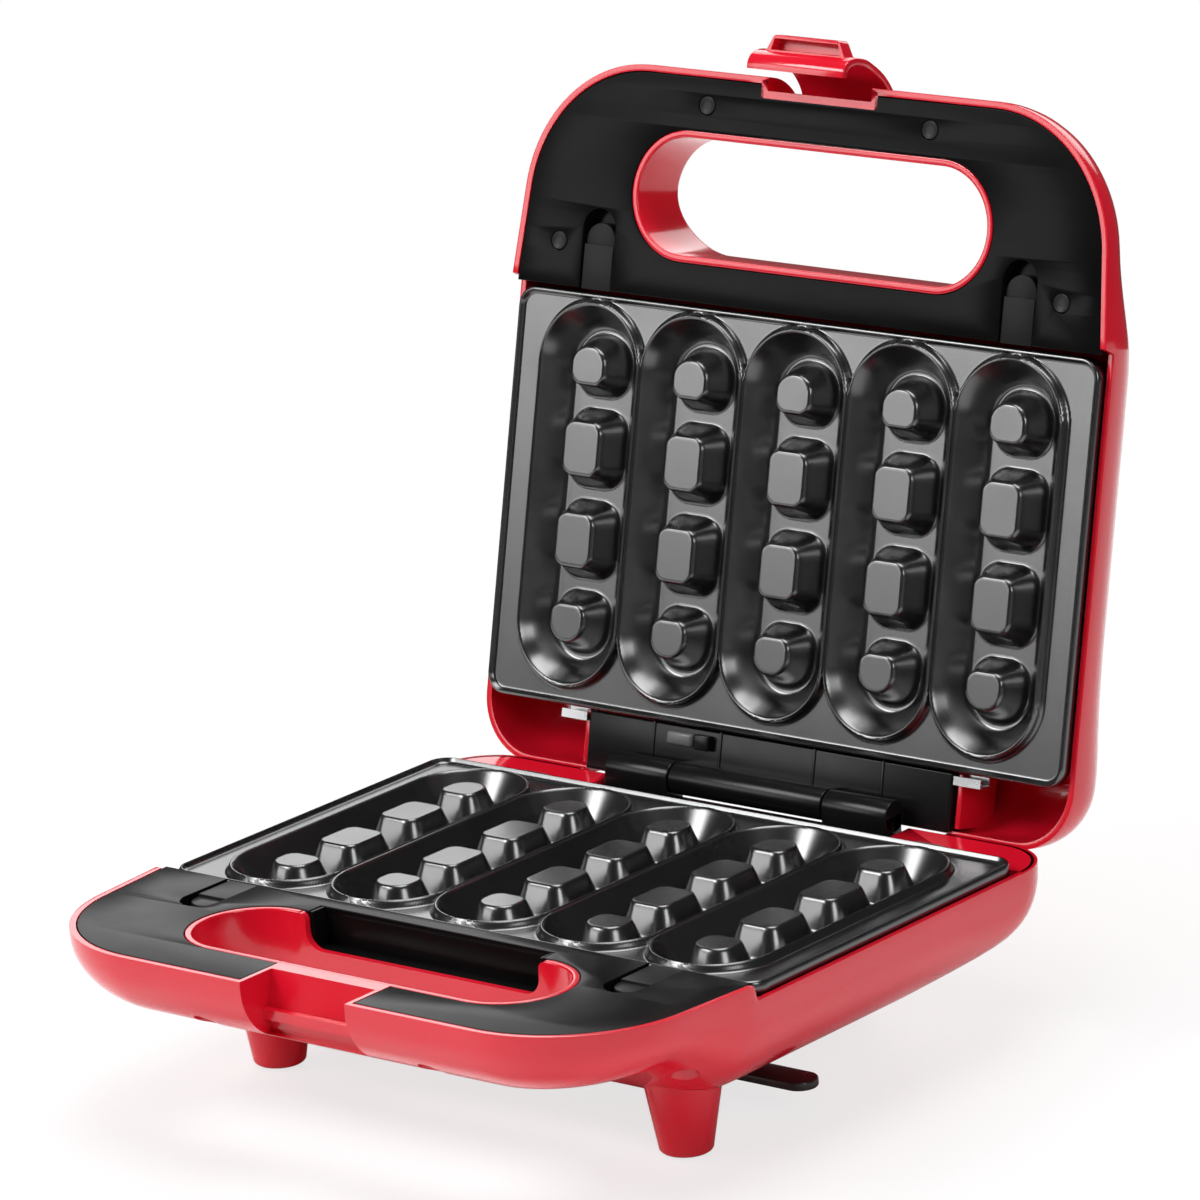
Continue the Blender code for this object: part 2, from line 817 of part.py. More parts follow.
def foot(name, x, u, top):
    """A round tapering foot with a small round at its bottom edge."""
    low = foot_bottom + foot_round
    top_radius = foot_radius + (foot_top_radius - foot_radius) * (top - low) / (foot_height - low)
    profile = (
        (foot_radius - foot_round, foot_bottom),
        (foot_radius - foot_round / 4, foot_bottom + foot_round / 4),
        (foot_radius, foot_bottom + foot_round),
        (top_radius, top),
    )
    rings = []
    sides = 20
    for radius, height in profile:
        ring = []
        for k in range(sides):
            angle = 2 * math.pi * k / sides
            ring.append(foot_point(x + radius * math.cos(angle), u + radius * math.sin(angle), height))
        rings.append(ring)
    bm = bmesh.new()
    add_loft(bm, rings)
    return finish(name, bm, base_frame)


def gland_line():
    """The point and outward direction of the cord inlet on the curved back wall."""
    straight = body_straight
    share = (gland_depth - straight) / (back_depth - straight)
    angle = math.asin(share)
    u = shell_back + back_curve * (1 - math.cos(angle))
    normal_u = -math.cos(angle) / back_curve
    normal_depth = math.sin(angle) / (back_depth - straight)
    point = pan(gland_x, u, gland_depth, base_side)
    normal = Vector((0.0, -normal_u, -normal_depth)).normalized()
    return point, normal


def gland_rod(name, start, end, radius, look=None, sides=16):
    point, normal = gland_line()
    return rod(name, point + normal * start, point + normal * end, radius, base_frame, look, sides)


def make_trim(name, side):
    """The flat panel round the handle hole, with its channels for the plate releases."""
    label = "lower" if side == base_side else "upper"
    inset = shell_wall + trim_gap
    front = [p for p in outline_loop(shell_stations(), inset) if p[1] > step_front]
    back_half = shell_half_width - inset
    outline = [(back_half, release_tail)] + front + [(-back_half, release_tail)]
    low = trim_depth + trim_thick
    trim = slab(name, outline, (trim_depth, low), side, black)

    channel_half = release_half + slot_gap + channel_wall
    channel_low = channel_floor + 2 * spring_room + channel_wall
    for sign in (-1, 1):
        join(trim, pan_box(
            f"{label}_channel_{sign}", (sign * release_x - channel_half, sign * release_x + channel_half),
            (release_tail, slot_tip + channel_wall), (low - clearance, channel_low), side,
        ))
        for k, (x, u) in enumerate(screw_places):
            join(trim, pan_rod(
                f"{label}_trim_boss_{k}_{sign}", sign * x, u, (low - clearance, trim_boss_end),
                boss_radius, side,
            ))
    if side == base_side:
        tray_front = hole_middle - hole_half_width - hole_wall - clearance
        half = window_half - clearance
        join(trim, pan_box(
            "window_tray", (-half, half), (window_back - tray_wall, tray_front),
            (trim_depth, window_depth + clearance + tray_wall), side,
        ))
    grown = hole_wall + clearance
    opening = rounded_outline(
        0.0, hole_middle, hole_half_length + grown, hole_half_width + grown,
        hole_half_width + grown, arc_steps,
    )
    cut(trim, slab(label + "_trim_hole", opening, (-overrun, overrun + base_depth), side))
    if side == base_side:
        inner = half - tray_wall
        cut(trim, pan_box(
            "tray_inside", (-inner, inner), (window_back, hole_middle),
            (-overrun, window_depth + clearance), side,
        ))
        edge = recess_half + recess_wall + clearance
        cut(trim, pan_box(
            "trim_recess", (-edge, edge), (hole_middle, shell_front), (-overrun, overrun), side,
        ))
    else:
        edge = recess_half + pocket_wall + clearance
        cut(trim, pan_box(
            "trim_notch", (-edge, edge), (pocket_face - recess_wall - clearance, shell_front),
            (-overrun, overrun), side,
        ))
        cut(trim, pan_box(
            "trim_pocket", (-edge, edge), (pocket_back - pocket_wall - clearance, shell_front),
            (low, base_depth), side,
        ))
    for sign in (-1, 1):
        cut_channel(trim, label, sign, side)
        for k, (x, u) in enumerate(screw_places):
            place = (sign * x, u)
            name = f"{label}_trim_bore_{k}_{sign}"
            start = 0.0 if side == lid_side else low
            cut(trim, pan_rod(name, *place, (start, base_depth), bore_radius, side, sides=12))
            if side == lid_side:
                under_head = trim_depth + plug_thick + screw_head_high + 3 * clearance
                cut(trim, pan_rod(name + "_wide", *place, (0.0, under_head), counterbore, side))
    return trim


def cut_channel(trim, label, sign, side):
    slot = release_half + slot_gap
    straight = slot_tip - slot
    name = f"{label}_slot_{sign}"
    cut(
        trim,
        pan_box(
            name, (sign * release_x - slot, sign * release_x + slot),
            (release_tail - overrun, straight), (-overrun, channel_floor), side,
        ),
        pan_rod(name + "_end", sign * release_x, straight, (-overrun, channel_floor), slot, side, sides=24),
        pan_box(
            name + "_spring", (sign * release_x - spring_room, sign * release_x + spring_room),
            (spring_start - lug_long - 3 * clearance, spring_end + clearance),
            (channel_floor - clearance, channel_floor + 2 * spring_room), side,
        ),
        pan_box(
            name + "_tab", (sign * release_x - tab_half - clearance, sign * release_x + tab_half + clearance),
            (release_tail - overrun, plate_front + tab_reach + clearance),
            (-overrun, base_depth), side,
        ),
    )


def make_release(name, sign, side):
    """A sliding release: rounded tongue, nose over the plate's tab and lug on its spring."""
    x = sign * release_x
    half = release_half
    tip = arc(x, release_tip - half, half, 0.0, math.pi, arc_steps)
    outline = [(x + half, release_tail)] + tip + [(x - half, release_tail)]
    body = slab(name, outline, (release_top, release_top + release_thick), side, black)
    lug_front = spring_start - clearance
    join(body, pan_box(
        name + "_lug", (x - lug_half, x + lug_half), (lug_front - lug_long, lug_front),
        (release_top + release_thick / 2, channel_floor + 2 * spring_room - clearance), side,
    ))
    return body


def make_release_spring(name, sign, side):
    start = spring_start + spring_wire
    length = spring_end - spring_wire - start
    count = spring_turns * 8
    points = []
    for k in range(count + 1):
        angle = 2 * math.pi * k / 8
        middle = channel_floor + spring_room
        radius = spring_radius
        points.append(pan(
            sign * release_x + radius * math.cos(angle), start + length * k / count,
            middle + radius * math.sin(angle), side,
        ))
    return tube(name, points, spring_wire, frames[side], bright, 1)


def obround_ring(x, half_width, half_length, depth, side):
    outline = rounded_outline(x, cavity_middle, half_width, half_length, half_width, cavity_steps)
    return [pan(px, pu, depth, side) for px, pu in outline]


def boss_ring(x, u, size, radius, flat, depth, side):
    """A boss outline: a rounded square, or rounder away from the flat side."""
    half_x, half_u = size[0] / 2, size[1] / 2
    points = rounded_outline(x, u, half_x, half_u, radius, 3)
    if flat:
        points = []
        for sign_x, sign_u, start in ((1, -1, -90), (1, 1, 0), (-1, 1, 90), (-1, -1, 180)):
            corner = radius if sign_u == flat else min(half_x, half_u)
            first = math.radians(start)
            points += arc(
                x + sign_x * (half_x - corner), u + sign_u * (half_u - corner), corner,
                first, first + math.pi / 2, 3,
            )
    return [pan(px, pu, depth, side) for px, pu in points]


def cavity_places():
    first = -cavity_pitch * (cavity_count - 1) / 2
    return [first + cavity_pitch * k for k in range(cavity_count)]


def make_plate(name, side):
    """The coated plate: rim and skirt, cups under the flange, and bosses in each cavity."""
    label = "lower" if side == base_side else "upper"
    middle_u = (plate_front + plate_back) / 2
    half_u = (plate_front - plate_back) / 2

    def sheet(step, inset, depth_range, look=None):
        outline = rounded_outline(
            0.0, middle_u, plate_half_width - inset, half_u - inset, plate_corner - inset / 2, 4,
        )
        return slab(step, outline, depth_range, side, look)

    plate = sheet(name, 0.0, (plate_rim, plate_skirt), coated)
    cut(plate, sheet(label + "_pan_top", plate_rim_wide, (-overrun, plate_flange)))
    cut(plate, sheet(label + "_pan_under", plate_rim_wide, (plate_flange + plate_sheet, overrun)))

    outside = cavity_half_width + ridge_wide
    length = cavity_half_length + ridge_wide
    draw = plate_sheet
    for first in (0, 1):
        bm = bmesh.new()
        for x in cavity_places()[first::2]:
            add_loft(bm, [
                obround_ring(x, outside, length, ridge_depth, side),
                obround_ring(x, outside, length, plate_flange + plate_sheet / 2, side),
                obround_ring(
                    x, cavity_floor_half + draw, length - outside + cavity_floor_half + draw,
                    cavity_floor + draw, side,
                ),
            ])
        join(plate, finish(f"{label}_cups_{first}", bm, frames[side]))
    bm = bmesh.new()
    lift = ridge_depth + overrun / 6
    slope = (cavity_half_width - cavity_floor_half) / (cavity_floor - ridge_depth)
    for x in cavity_places():
        over = cavity_half_width + slope * lift
        straight = cavity_half_length - cavity_half_width
        add_loft(bm, [
            obround_ring(x, over, straight + over, ridge_depth - lift, side),
            obround_ring(x, cavity_floor_half, straight + cavity_floor_half, cavity_floor, side),
        ])
    cut(plate, finish(label + "_cavities", bm, frames[side]))
    bm = bmesh.new()
    sink = cavity_floor + plate_sheet / 2
    for x in cavity_places():
        for offset, top, base, flat in (
            (-round_offset, round_top, round_foot, 1), (-square_offset, square_top, square_foot, 0),
            (square_offset, square_top, square_foot, 0), (round_offset, round_top, round_foot, -1),
        ):
            u = cavity_middle + offset
            corner = square_corner
            add_loft(bm, [
                boss_ring(x, u, top, corner, flat, boss_top, side),
                boss_ring(x, u, base, corner * base[0] / top[0], flat, sink, side),
            ])
    join(plate, finish(label + "_bosses", bm, frames[side]))
    nose_low = release_top + release_thick + clearance
    for sign in (-1, 1):
        tab_x = sign * release_x
        join(plate, pan_box(
            f"{label}_tab_{sign}", (tab_x - tab_half, tab_x + tab_half),
            (plate_front - plate_rim_wide / 2, plate_front + tab_reach),
            (nose_low, nose_low + tab_thick), side,
        ))
        lug_x = sign * catch_x
        half = catch_half - clearance
        join(plate, pan_box(
            f"{label}_back_lug_{sign}", (lug_x - half, lug_x + half),
            (plate_back - lug_reach, plate_back + plate_rim_wide / 2),
            (nose_low, nose_low + tab_thick), side,
        ))
    return plate


def make_catch(name, sign, side):
    """A bent sheet clip that holds the plate's back lug down."""
    x = sign * catch_x
    nose_low = release_top + release_thick
    top = nose_low - catch_sheet
    foot_low = reflector_depth + reflector_sheet + clearance
    wide = (x - catch_half, x + catch_half)
    leaf = pan_box(name, wide, (catch_back, catch_back + catch_sheet), (top, foot_low + catch_sheet), side, bright)
    reach = plate_back - lug_reach / 2
    join(leaf, pan_box(name + "_hook", wide, (catch_back, reach), (top, nose_low), side))
    inner = plate_back + reflector_lip - 4 * clearance
    join(leaf, pan_box(name + "_foot", wide, (catch_back, inner), (foot_low, foot_low + catch_sheet), side))
    return leaf


def make_reflector(name, side):
    """A pressed sheet tray under the plate: flange, sloping walls and floor."""
    middle_u = (plate_front + plate_back) / 2
    half_u = (plate_front - plate_back) / 2
    steps = (
        (reflector_edge, reflector_depth), (reflector_lip, reflector_depth),
        (reflector_lip + reflector_slope, reflector_floor),
    )
    bm = bmesh.new()
    rings = []
    for inset, depth in steps:
        outline = rounded_outline(
            0.0, middle_u, plate_half_width - inset, half_u - inset, reflector_corner, 4,
        )
        rings.append([bm.verts.new(pan(x, u, depth, side)) for x, u in outline])
    count = len(rings[0])
    for outer, inner in zip(rings, rings[1:]):
        for i in range(count):
            j = (i + 1) % count
            bm.faces.new((outer[i], outer[j], inner[j], inner[i]))
    bm.faces.new(rings[-1])
    outward(bm, side)
    mesh = bpy.data.meshes.new(name)
    bm.to_mesh(mesh)
    bm.free()
    tray = place_mesh(name, mesh, frames[side], bright)
    thick = tray.modifiers.new("sheet", "SOLIDIFY")
    thick.thickness = reflector_sheet
    thick.offset = 1.0
    thick.use_even_offset = True
    for sign in (-1, 1):
        start = pan(sign * element_leg, element_end, element_depth, side)
        end = pan(sign * element_leg, element_near, element_depth, side)
        cut(tray, rod(name + f"_hole_{sign}", start, end, element_radius + clearance, frames[side]))
    return tray


bend_steps = 3


def element_points(side):
    """The loop of the heating tube: in at the back, round the plate and out again."""
    bend = element_bend
    right = [(element_leg, element_end), (element_leg, element_near - bend)]
    right += [
        (element_leg + bend * (1 - math.cos(a)), element_near - bend + bend * math.sin(a))
        for a in (math.pi / 2 * k / bend_steps for k in range(1, bend_steps + 1))
    ]
    right += [
        (element_half - bend + bend * math.sin(a), element_near + bend * (1 - math.cos(a)))
        for a in (math.pi / 2 * k / bend_steps for k in range(bend_steps + 1))
    ]
    right += [
        (element_half - bend + bend * math.cos(a), element_far - bend + bend * math.sin(a))
        for a in (math.pi / 2 * k / bend_steps for k in range(bend_steps + 1))
    ]
    loop = right + [(-x, u) for x, u in reversed(right)]
    return [pan(x, u, element_depth, side) for x, u in loop]


def make_hinge_bracket():
    """Two ears that stand on a bar across the back of the base."""
    side = base_side

    def bar(name, x_range, y_range, z_range, look=None):
        bm = bmesh.new()
        low = Vector((x_range[0], y_range[0], z_range[0]))
        high = Vector((x_range[1], y_range[1], z_range[1]))
        box_mesh(bm, low, high)
        return finish(name, bm, frames[side], look)

    bracket = bar(
        "hinge_bracket", (-bracket_half, bracket_half), (-barrel_radius, bracket_back),
        (bracket_bottom, bracket_top), black,
    )
    join(bracket, bar(
        "bracket_shelf", (-bracket_half, bracket_half), (bracket_front, -barrel_radius + clearance),
        (bracket_top - bracket_shelf, bracket_top),
    ))
    for sign in (-1, 1):
        ends = sorted((sign * ear_inner, sign * ear_outer))
        join(bracket, bar(f"ear_foot_{sign}", ends, (-barrel_radius, ear_back), (bracket_top - clearance, 0.0)))
        join(bracket, rod(
            f"ear_{sign}", Vector((ends[0], 0.0, 0.0)), Vector((ends[1], 0.0, 0.0)),
            barrel_radius, base_frame, sides=24,
        ))
    reach = ear_outer + overrun
    cut(bracket, rod(
        "ear_bore", Vector((-reach, 0.0, 0.0)), Vector((reach, 0.0, 0.0)),
        pin_radius + pin_room, base_frame,
    ))
    return bracket


def make_hinge_housing():
    """The block across the back of the lid, with the middle knuckle."""
    bm = bmesh.new()
    box_mesh(
        bm, Vector((-housing_half, housing_front, housing_low)),
        Vector((housing_half, housing_back, housing_high)),
    )
    housing = finish("lid_hinge_housing", bm, lid_frame, black)
    bm = bmesh.new()
    box_mesh(
        bm, Vector((-centre_half, -barrel_radius, 0.0)),
        Vector((centre_half, housing_back / 2, housing_low + clearance)),
    )
    join(housing, finish("knuckle_web", bm, lid_frame))
    start = Vector((-centre_half, 0.0, 0.0))
    end = Vector((centre_half, 0.0, 0.0))
    join(housing, rod("knuckle", start, end, barrel_radius, lid_frame, sides=24))
    reach = Vector((overrun, 0.0, 0.0))
    cut(housing, rod("knuckle_bore", start - reach, end + reach, pin_radius + pin_room, lid_frame))
    return housing


def latch_point(u, z):
    return (latch_u - u, z - latch_z)


# The latch's section as shares of its reach and its drop, outer side then inner side
latch_reach = 23.2 * mm
latch_drop = 26.7 * mm
arm_outer_u_shares = (0.0, 0.241, 0.431, 0.586, 0.759, 0.931, 1, 0.987, 0.922)
arm_outer_z_shares = (0.101, 0.157, 0.105, -0.026, -0.191, -0.446, -0.648, -0.824, -0.951)
arm_inner_u_shares = (
    0.836, 0.707, 0.707, 0.836, 0.901, 0.905, 0.819, 0.672, 0.517, 0.362, 0.198, 0.000,
)
arm_inner_z_shares = (
    -1.000, -1.000, -0.906, -0.876, -0.772, -0.652, -0.487, -0.255, -0.105, 0.007, 0.037, -0.101,
)
grip_place = 6
arm_outer_u = tuple(latch_u + latch_reach * share for share in arm_outer_u_shares)
arm_outer_z = tuple(latch_z + latch_drop * share for share in arm_outer_z_shares)
arm_inner_u = tuple(latch_u + latch_reach * share for share in arm_inner_u_shares)
arm_inner_z = tuple(latch_z + latch_drop * share for share in arm_inner_z_shares)
grip_u = arm_outer_u[grip_place]
grip_z = (arm_outer_z[grip_place] + arm_outer_z[grip_place + 1]) / 2


def make_latch():
    """A curved arm with a hook, a boss on its pin and a hollow finger grip."""
    outer = [latch_point(u, z) for u, z in zip(arm_outer_u, arm_outer_z)]
    inner = [latch_point(u, z) for u, z in zip(arm_inner_u, arm_inner_z)]
    section = outer + inner
    bm = bmesh.new()
    add_loft(bm, [[Vector((x, y, z)) for y, z in section] for x in (-latch_half, latch_half)])
    latch = finish("latch", bm, latch_frame, red)
    start = Vector((-latch_half, 0.0, 0.0))
    end = Vector((latch_half, 0.0, 0.0))
    join(latch, rod("latch_boss", start, end, latch_boss, latch_frame))

    def grip(name, root_half, tip_half, reach, thick, sink, look=None):
        y_root = latch_point(grip_u, 0.0)[0] + sink
        z_mid = latch_point(0.0, grip_z)[1]
        rings = []
        for y, half in ((y_root, root_half), (y_root - sink - reach, tip_half)):
            rings.append([
                Vector((x, y, z_mid + z)) for x, z in (
                    (-half, -thick / 2), (half, -thick / 2), (half, thick / 2), (-half, thick / 2),
                )
            ])
        body = bmesh.new()
        add_loft(body, rings)
        return finish(name, body, latch_frame, look)

    join(latch, grip("latch_grip", grip_half, grip_tip_half, grip_reach, grip_thick, grip_wall))
    bm = bmesh.new()
    y_low = latch_point(grip_u, 0.0)[0]
    z_mid = latch_point(0.0, grip_z)[1]
    box_mesh(
        bm, Vector((-grip_tip_half + grip_wall, y_low - grip_reach + grip_wall, z_mid - grip_thick)),
        Vector((grip_tip_half - grip_wall, y_low - grip_wall, z_mid + grip_thick / 2 - grip_wall)),
    )
    cut(latch, finish("grip_window", bm, latch_frame))
    reach = Vector((overrun, 0.0, 0.0))
    cut(latch, rod("latch_bore", start - reach, end + reach, latch_pin_radius + clearance, latch_frame, sides=12))
    return latch


def screw(name, x, u, head_depth, direction, side, length=screw_length):
    """A pan head and shank: direction 1 points the shank deeper, -1 towards the closing plane."""
    head_end = head_depth + direction * screw_head_high
    made = pan_rod(name, x, u, (head_depth, head_end), screw_head, side, dull, 12)
    join(made, pan_rod(
        name + "_shank", x, u, (head_end - direction * clearance, head_end + direction * length),
        screw_shank, side, None, 8,
    ))
    return made


# The two halves
lower_housing = make_housing("lower_housing", base_side)
upper_housing = make_housing("upper_housing", lid_side)
make_trim("lower_handle_trim", base_side)
make_trim("upper_handle_trim", lid_side)
for half_name, half_side in (("lower", base_side), ("upper", lid_side)):
    make_plate(half_name + "_plate", half_side)
    make_reflector(half_name + "_reflector", half_side)
    tube(half_name + "_heating_element", element_points(half_side), element_radius, frames[half_side], dull)
    for hand in (-1, 1):
        make_release(f"{half_name}_release_{side_name(hand)}", hand, half_side)
        make_release_spring(f"{half_name}_release_spring_{side_name(hand)}", hand, half_side)
        make_catch(f"{half_name}_plate_catch_{side_name(hand)}", hand, half_side)

# Controls under the lower reflector
under_reflector = reflector_floor + reflector_sheet + clearance
pan_rod(
    "thermostat", *thermostat_place, (under_reflector, under_reflector + thermostat_height),
    thermostat_radius, base_side, pale, 20,
)
fuse_depth = under_reflector + fuse_radius
rod(
    "thermal_fuse", pan(fuse_place[0] - fuse_length / 2, fuse_place[1], fuse_depth, base_side),
    pan(fuse_place[0] + fuse_length / 2, fuse_place[1], fuse_depth, base_side),
    fuse_radius, base_frame, bright, 12,
)
floor_inside = base_depth - shell_wall - clearance
terminal_top = floor_inside - terminal_size[2]
pan_box(
    "terminal_block",
    (terminal_place[0] - terminal_size[0] / 2, terminal_place[0] + terminal_size[0] / 2),
    (terminal_place[1] - terminal_size[1] / 2, terminal_place[1] + terminal_size[1] / 2),
    (terminal_top, floor_inside), base_side, pale,
)

# Hinge
make_hinge_bracket()
make_hinge_housing()
rod(
    "hinge_pin", Vector((-pin_half, 0.0, 0.0)), Vector((pin_half, 0.0, 0.0)),
    pin_radius, base_frame, bright,
)

# Latch and its pin
make_latch()
latch_pin_reach = recess_half + pocket_wall - clearance
rod(
    "latch_pin", Vector((-latch_pin_reach, -latch_u, latch_z - hinge_height)),
    Vector((latch_pin_reach, -latch_u, latch_z - hinge_height)),
    latch_pin_radius, lid_frame, bright, 12,
)

# Screws of the trims, and the plugs that cover those of the lid
for k, (screw_x, screw_u) in enumerate(screw_places):
    row = "front" if k == 0 else "back"
    for hand in (-1, 1):
        spot = f"{row}_{side_name(hand)}"
        head = counter_depth + clearance + screw_head_high
        screw(f"lower_screw_{spot}", hand * screw_x, screw_u, head, -1, base_side)
        plug_low = trim_depth + plug_thick
        screw(f"upper_screw_{spot}", hand * screw_x, screw_u, plug_low + clearance, 1, lid_side)
        pan_rod(f"screw_plug_{spot}", hand * screw_x, screw_u, (trim_depth, plug_low), plug_radius, lid_side, grey)

# Feet pads, cord wrap and cord inlet
for row, (pad_x, pad_u) in (("front", front_foot), ("back", back_foot)):
    for hand in (-1, 1):
        rod(
            f"foot_pad_{row}_{side_name(hand)}", foot_point(hand * pad_x, pad_u, 0.0),
            foot_point(hand * pad_x, pad_u, pad_thick), pad_radius, base_frame, rubber,
        )
wrap_top = wrap_low + wrap_thick
shell_under = closing_height - base_depth


def height_to_depth(height):
    return closing_height - height


wrap_outline = rounded_outline(0.0, wrap_u, wrap_half, wrap_wide / 2, wrap_wide / 2, arc_steps)
cord_wrap = slab("cord_wrap", wrap_outline, (height_to_depth(wrap_top), height_to_depth(wrap_low)), base_side, black)
join(cord_wrap, pan_box(
    "wrap_post", (-wrap_post_half, wrap_post_half), (wrap_u - wrap_wide / 2, wrap_u + wrap_wide / 2),
    (height_to_depth(shell_under - clearance), height_to_depth(wrap_top - clearance)), base_side,
))
for hand in (-1, 1):
    hole_top = height_to_depth(shell_under + overrun)
    hole_low = height_to_depth(wrap_low - overrun)
    bore = pan_rod(
        f"wrap_bore_{hand}", hand * wrap_screw_x, wrap_u, (hole_top, hole_low), bore_radius,
        base_side, sides=12,
    )
    cut(cord_wrap, bore)
    head_depth = height_to_depth(wrap_low) + screw_head_high + clearance
    screw(
        f"cord_wrap_screw_{side_name(hand)}", hand * wrap_screw_x, wrap_u, head_depth, -1,
        base_side, wrap_screw_length,
    )
gland = gland_rod("cord_inlet", -gland_length, flange_thick, gland_radius, rubber)
join(gland, gland_rod("gland_flange_ring", clearance, flange_thick, gland_flange))
cut(gland, gland_rod("gland_bore", -gland_length - overrun, overrun, gland_bore, sides=12))

# Leads from the inlet to the terminal block, under the reflector
inlet, inlet_out = gland_line()
lead_points = [inlet - inlet_out * (gland_length + length) for length in (clearance, lead_radius)]
lead_far = terminal_place[0] + terminal_size[0] / 2 + clearance
lead_near = plate_back - 5.9 * mm
for x_share, u_share, depth_share in zip(lead_x_shares, lead_u_shares, lead_depth_shares):
    lead_points.append(pan(
        gland_x + (lead_far - gland_x) * x_share,
        lead_near + (terminal_place[1] - lead_near) * u_share,
        base_depth * depth_share, base_side,
    ))
lead_points.append(pan(
    lead_far, terminal_place[1],
    floor_inside - terminal_size[2] / 2, base_side,
))
tube("supply_leads", lead_points, lead_radius, base_frame, black)

# Indicator lenses on top of the lid
for lamp_name, hand, look in (("power_lens", -1, lamp_red), ("ready_lens", 1, lamp_green)):
    inside = lid_depth - shell_wall - clearance
    lens = pan_rod(
        lamp_name, hand * lamp_x, lamp_u, (inside - lamp_length, lid_depth + lamp_proud),
        lamp_radius, lid_side, look, 20,
    )
    join(lens, pan_rod(
        lamp_name + "_flange", hand * lamp_x, lamp_u, (inside - lamp_flange, inside),
        lamp_radius + lamp_flange, lid_side, None, 20,
    ))
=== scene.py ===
"""Look of the stick waffle maker: finer shells, plates, trims, latch and hinge, and materials.

Everything is laid out as in the solid model, in pan coordinates: x, u and depth, where u is the
distance in front of the hinge axis and depth grows into each half from where the plates meet.
"""

import json
import math

import bmesh
import bpy
import numpy as np
from mathutils import Matrix, Vector


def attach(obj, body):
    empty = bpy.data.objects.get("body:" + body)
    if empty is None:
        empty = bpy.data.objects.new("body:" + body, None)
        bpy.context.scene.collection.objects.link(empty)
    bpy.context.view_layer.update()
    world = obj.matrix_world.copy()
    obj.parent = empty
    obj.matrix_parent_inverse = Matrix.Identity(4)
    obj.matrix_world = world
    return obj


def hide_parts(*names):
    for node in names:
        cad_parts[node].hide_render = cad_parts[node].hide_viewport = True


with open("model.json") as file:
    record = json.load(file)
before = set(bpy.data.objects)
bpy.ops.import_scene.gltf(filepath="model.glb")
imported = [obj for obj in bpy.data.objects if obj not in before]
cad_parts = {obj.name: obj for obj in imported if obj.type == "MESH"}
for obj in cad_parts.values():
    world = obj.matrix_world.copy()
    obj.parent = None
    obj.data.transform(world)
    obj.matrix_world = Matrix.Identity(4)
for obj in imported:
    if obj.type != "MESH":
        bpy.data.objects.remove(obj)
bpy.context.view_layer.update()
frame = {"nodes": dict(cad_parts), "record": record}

# Sizes and places that several pieces share

mm = 0.001
hinge_y = 73.8 * mm
hinge_z = 58.4 * mm
closing = 1.8 * mm
open_angle = math.radians(103.08)
far = 60 * mm

shell_wall = 2.0 * mm
half_width = 112.9 * mm
shell_back = -4.5 * mm
back_corner = 20 * mm
nose_x = 65.6 * mm
nose_u = 172.6 * mm
nose_radius = 45 * mm
side_slant = math.radians(4.87)

base_depth = 43 * mm
lid_depth = 38 * mm
handle_depth = 23 * mm
back_depth = 30 * mm
ramp_start = 8 * mm
ramp_end = 60 * mm
deepest_u = 99 * mm
slope_start = 138 * mm
slope_end = 180 * mm

rim_drop = 5.7 * mm
step_start = 146.6 * mm
step_end = 148.4 * mm
trim_depth = 0.9 * mm
trim_thick = 2.2 * mm
trim_back = 146.3 * mm

hole_middle = 178.4 * mm
hole_half_length = 66.2 * mm
hole_half_width = 18.2 * mm
hole_lip = 2.3 * mm
hole_room = 2.0 * mm
window_half = 44 * mm
recess_half = 19.6 * mm

release_x = 80 * mm
slot_half = 6.2 * mm
slot_tip = 171.6 * mm
front_screw = (42.2 * mm, 207.0 * mm)
back_screw = (95.5 * mm, 160.2 * mm)

base_side = 1
lid_side = -1
hinge = Matrix.Translation((0.0, hinge_y, hinge_z))
placing = {base_side: hinge, lid_side: hinge @ Matrix.Rotation(-open_angle, 4, "X")}
body_of = {base_side: "base", lid_side: "lid"}
label_of = {base_side: "lower", lid_side: "upper"}
hand_of = {-1: "left", 1: "right"}


def pan(x, u, depth, side):
    """A point of pan coordinates in the frame of its half."""
    return Vector((x, -u, closing - side * depth))


# Materials


def new_material(name):
    made = bpy.data.materials.new(name)
    made.use_nodes = True
    nodes = made.node_tree.nodes
    return made, nodes, made.node_tree.links, nodes["Principled BSDF"]


def noise(nodes, links, scale, detail=2.0, rough=0.5):
    place = nodes.new("ShaderNodeTexCoord")
    made = nodes.new("ShaderNodeTexNoise")
    made.inputs["Scale"].default_value = scale
    made.inputs["Detail"].default_value = detail
    made.inputs["Roughness"].default_value = rough
    links.new(place.outputs["Object"], made.inputs["Vector"])
    return made.outputs["Fac"]


def ramp(nodes, links, source, low, high, start=0.3, end=0.7):
    made = nodes.new("ShaderNodeMapRange")
    made.inputs["From Min"].default_value = start
    made.inputs["From Max"].default_value = end
    made.inputs["To Min"].default_value = low
    made.inputs["To Max"].default_value = high
    links.new(source, made.inputs["Value"])
    return made.outputs["Result"]


def colour_ramp(nodes, links, source, first, second, start=0.3, end=0.7):
    made = nodes.new("ShaderNodeValToRGB")
    made.color_ramp.elements[0].position = start
    made.color_ramp.elements[0].color = (*first, 1.0)
    made.color_ramp.elements[1].position = end
    made.color_ramp.elements[1].color = (*second, 1.0)
    links.new(source, made.inputs["Fac"])
    return made.outputs["Color"]


def bump(nodes, links, shader, height, strength, distance):
    made = nodes.new("ShaderNodeBump")
    made.inputs["Strength"].default_value = strength
    made.inputs["Distance"].default_value = distance
    links.new(height, made.inputs["Height"])
    links.new(made.outputs["Normal"], shader.inputs["Normal"])


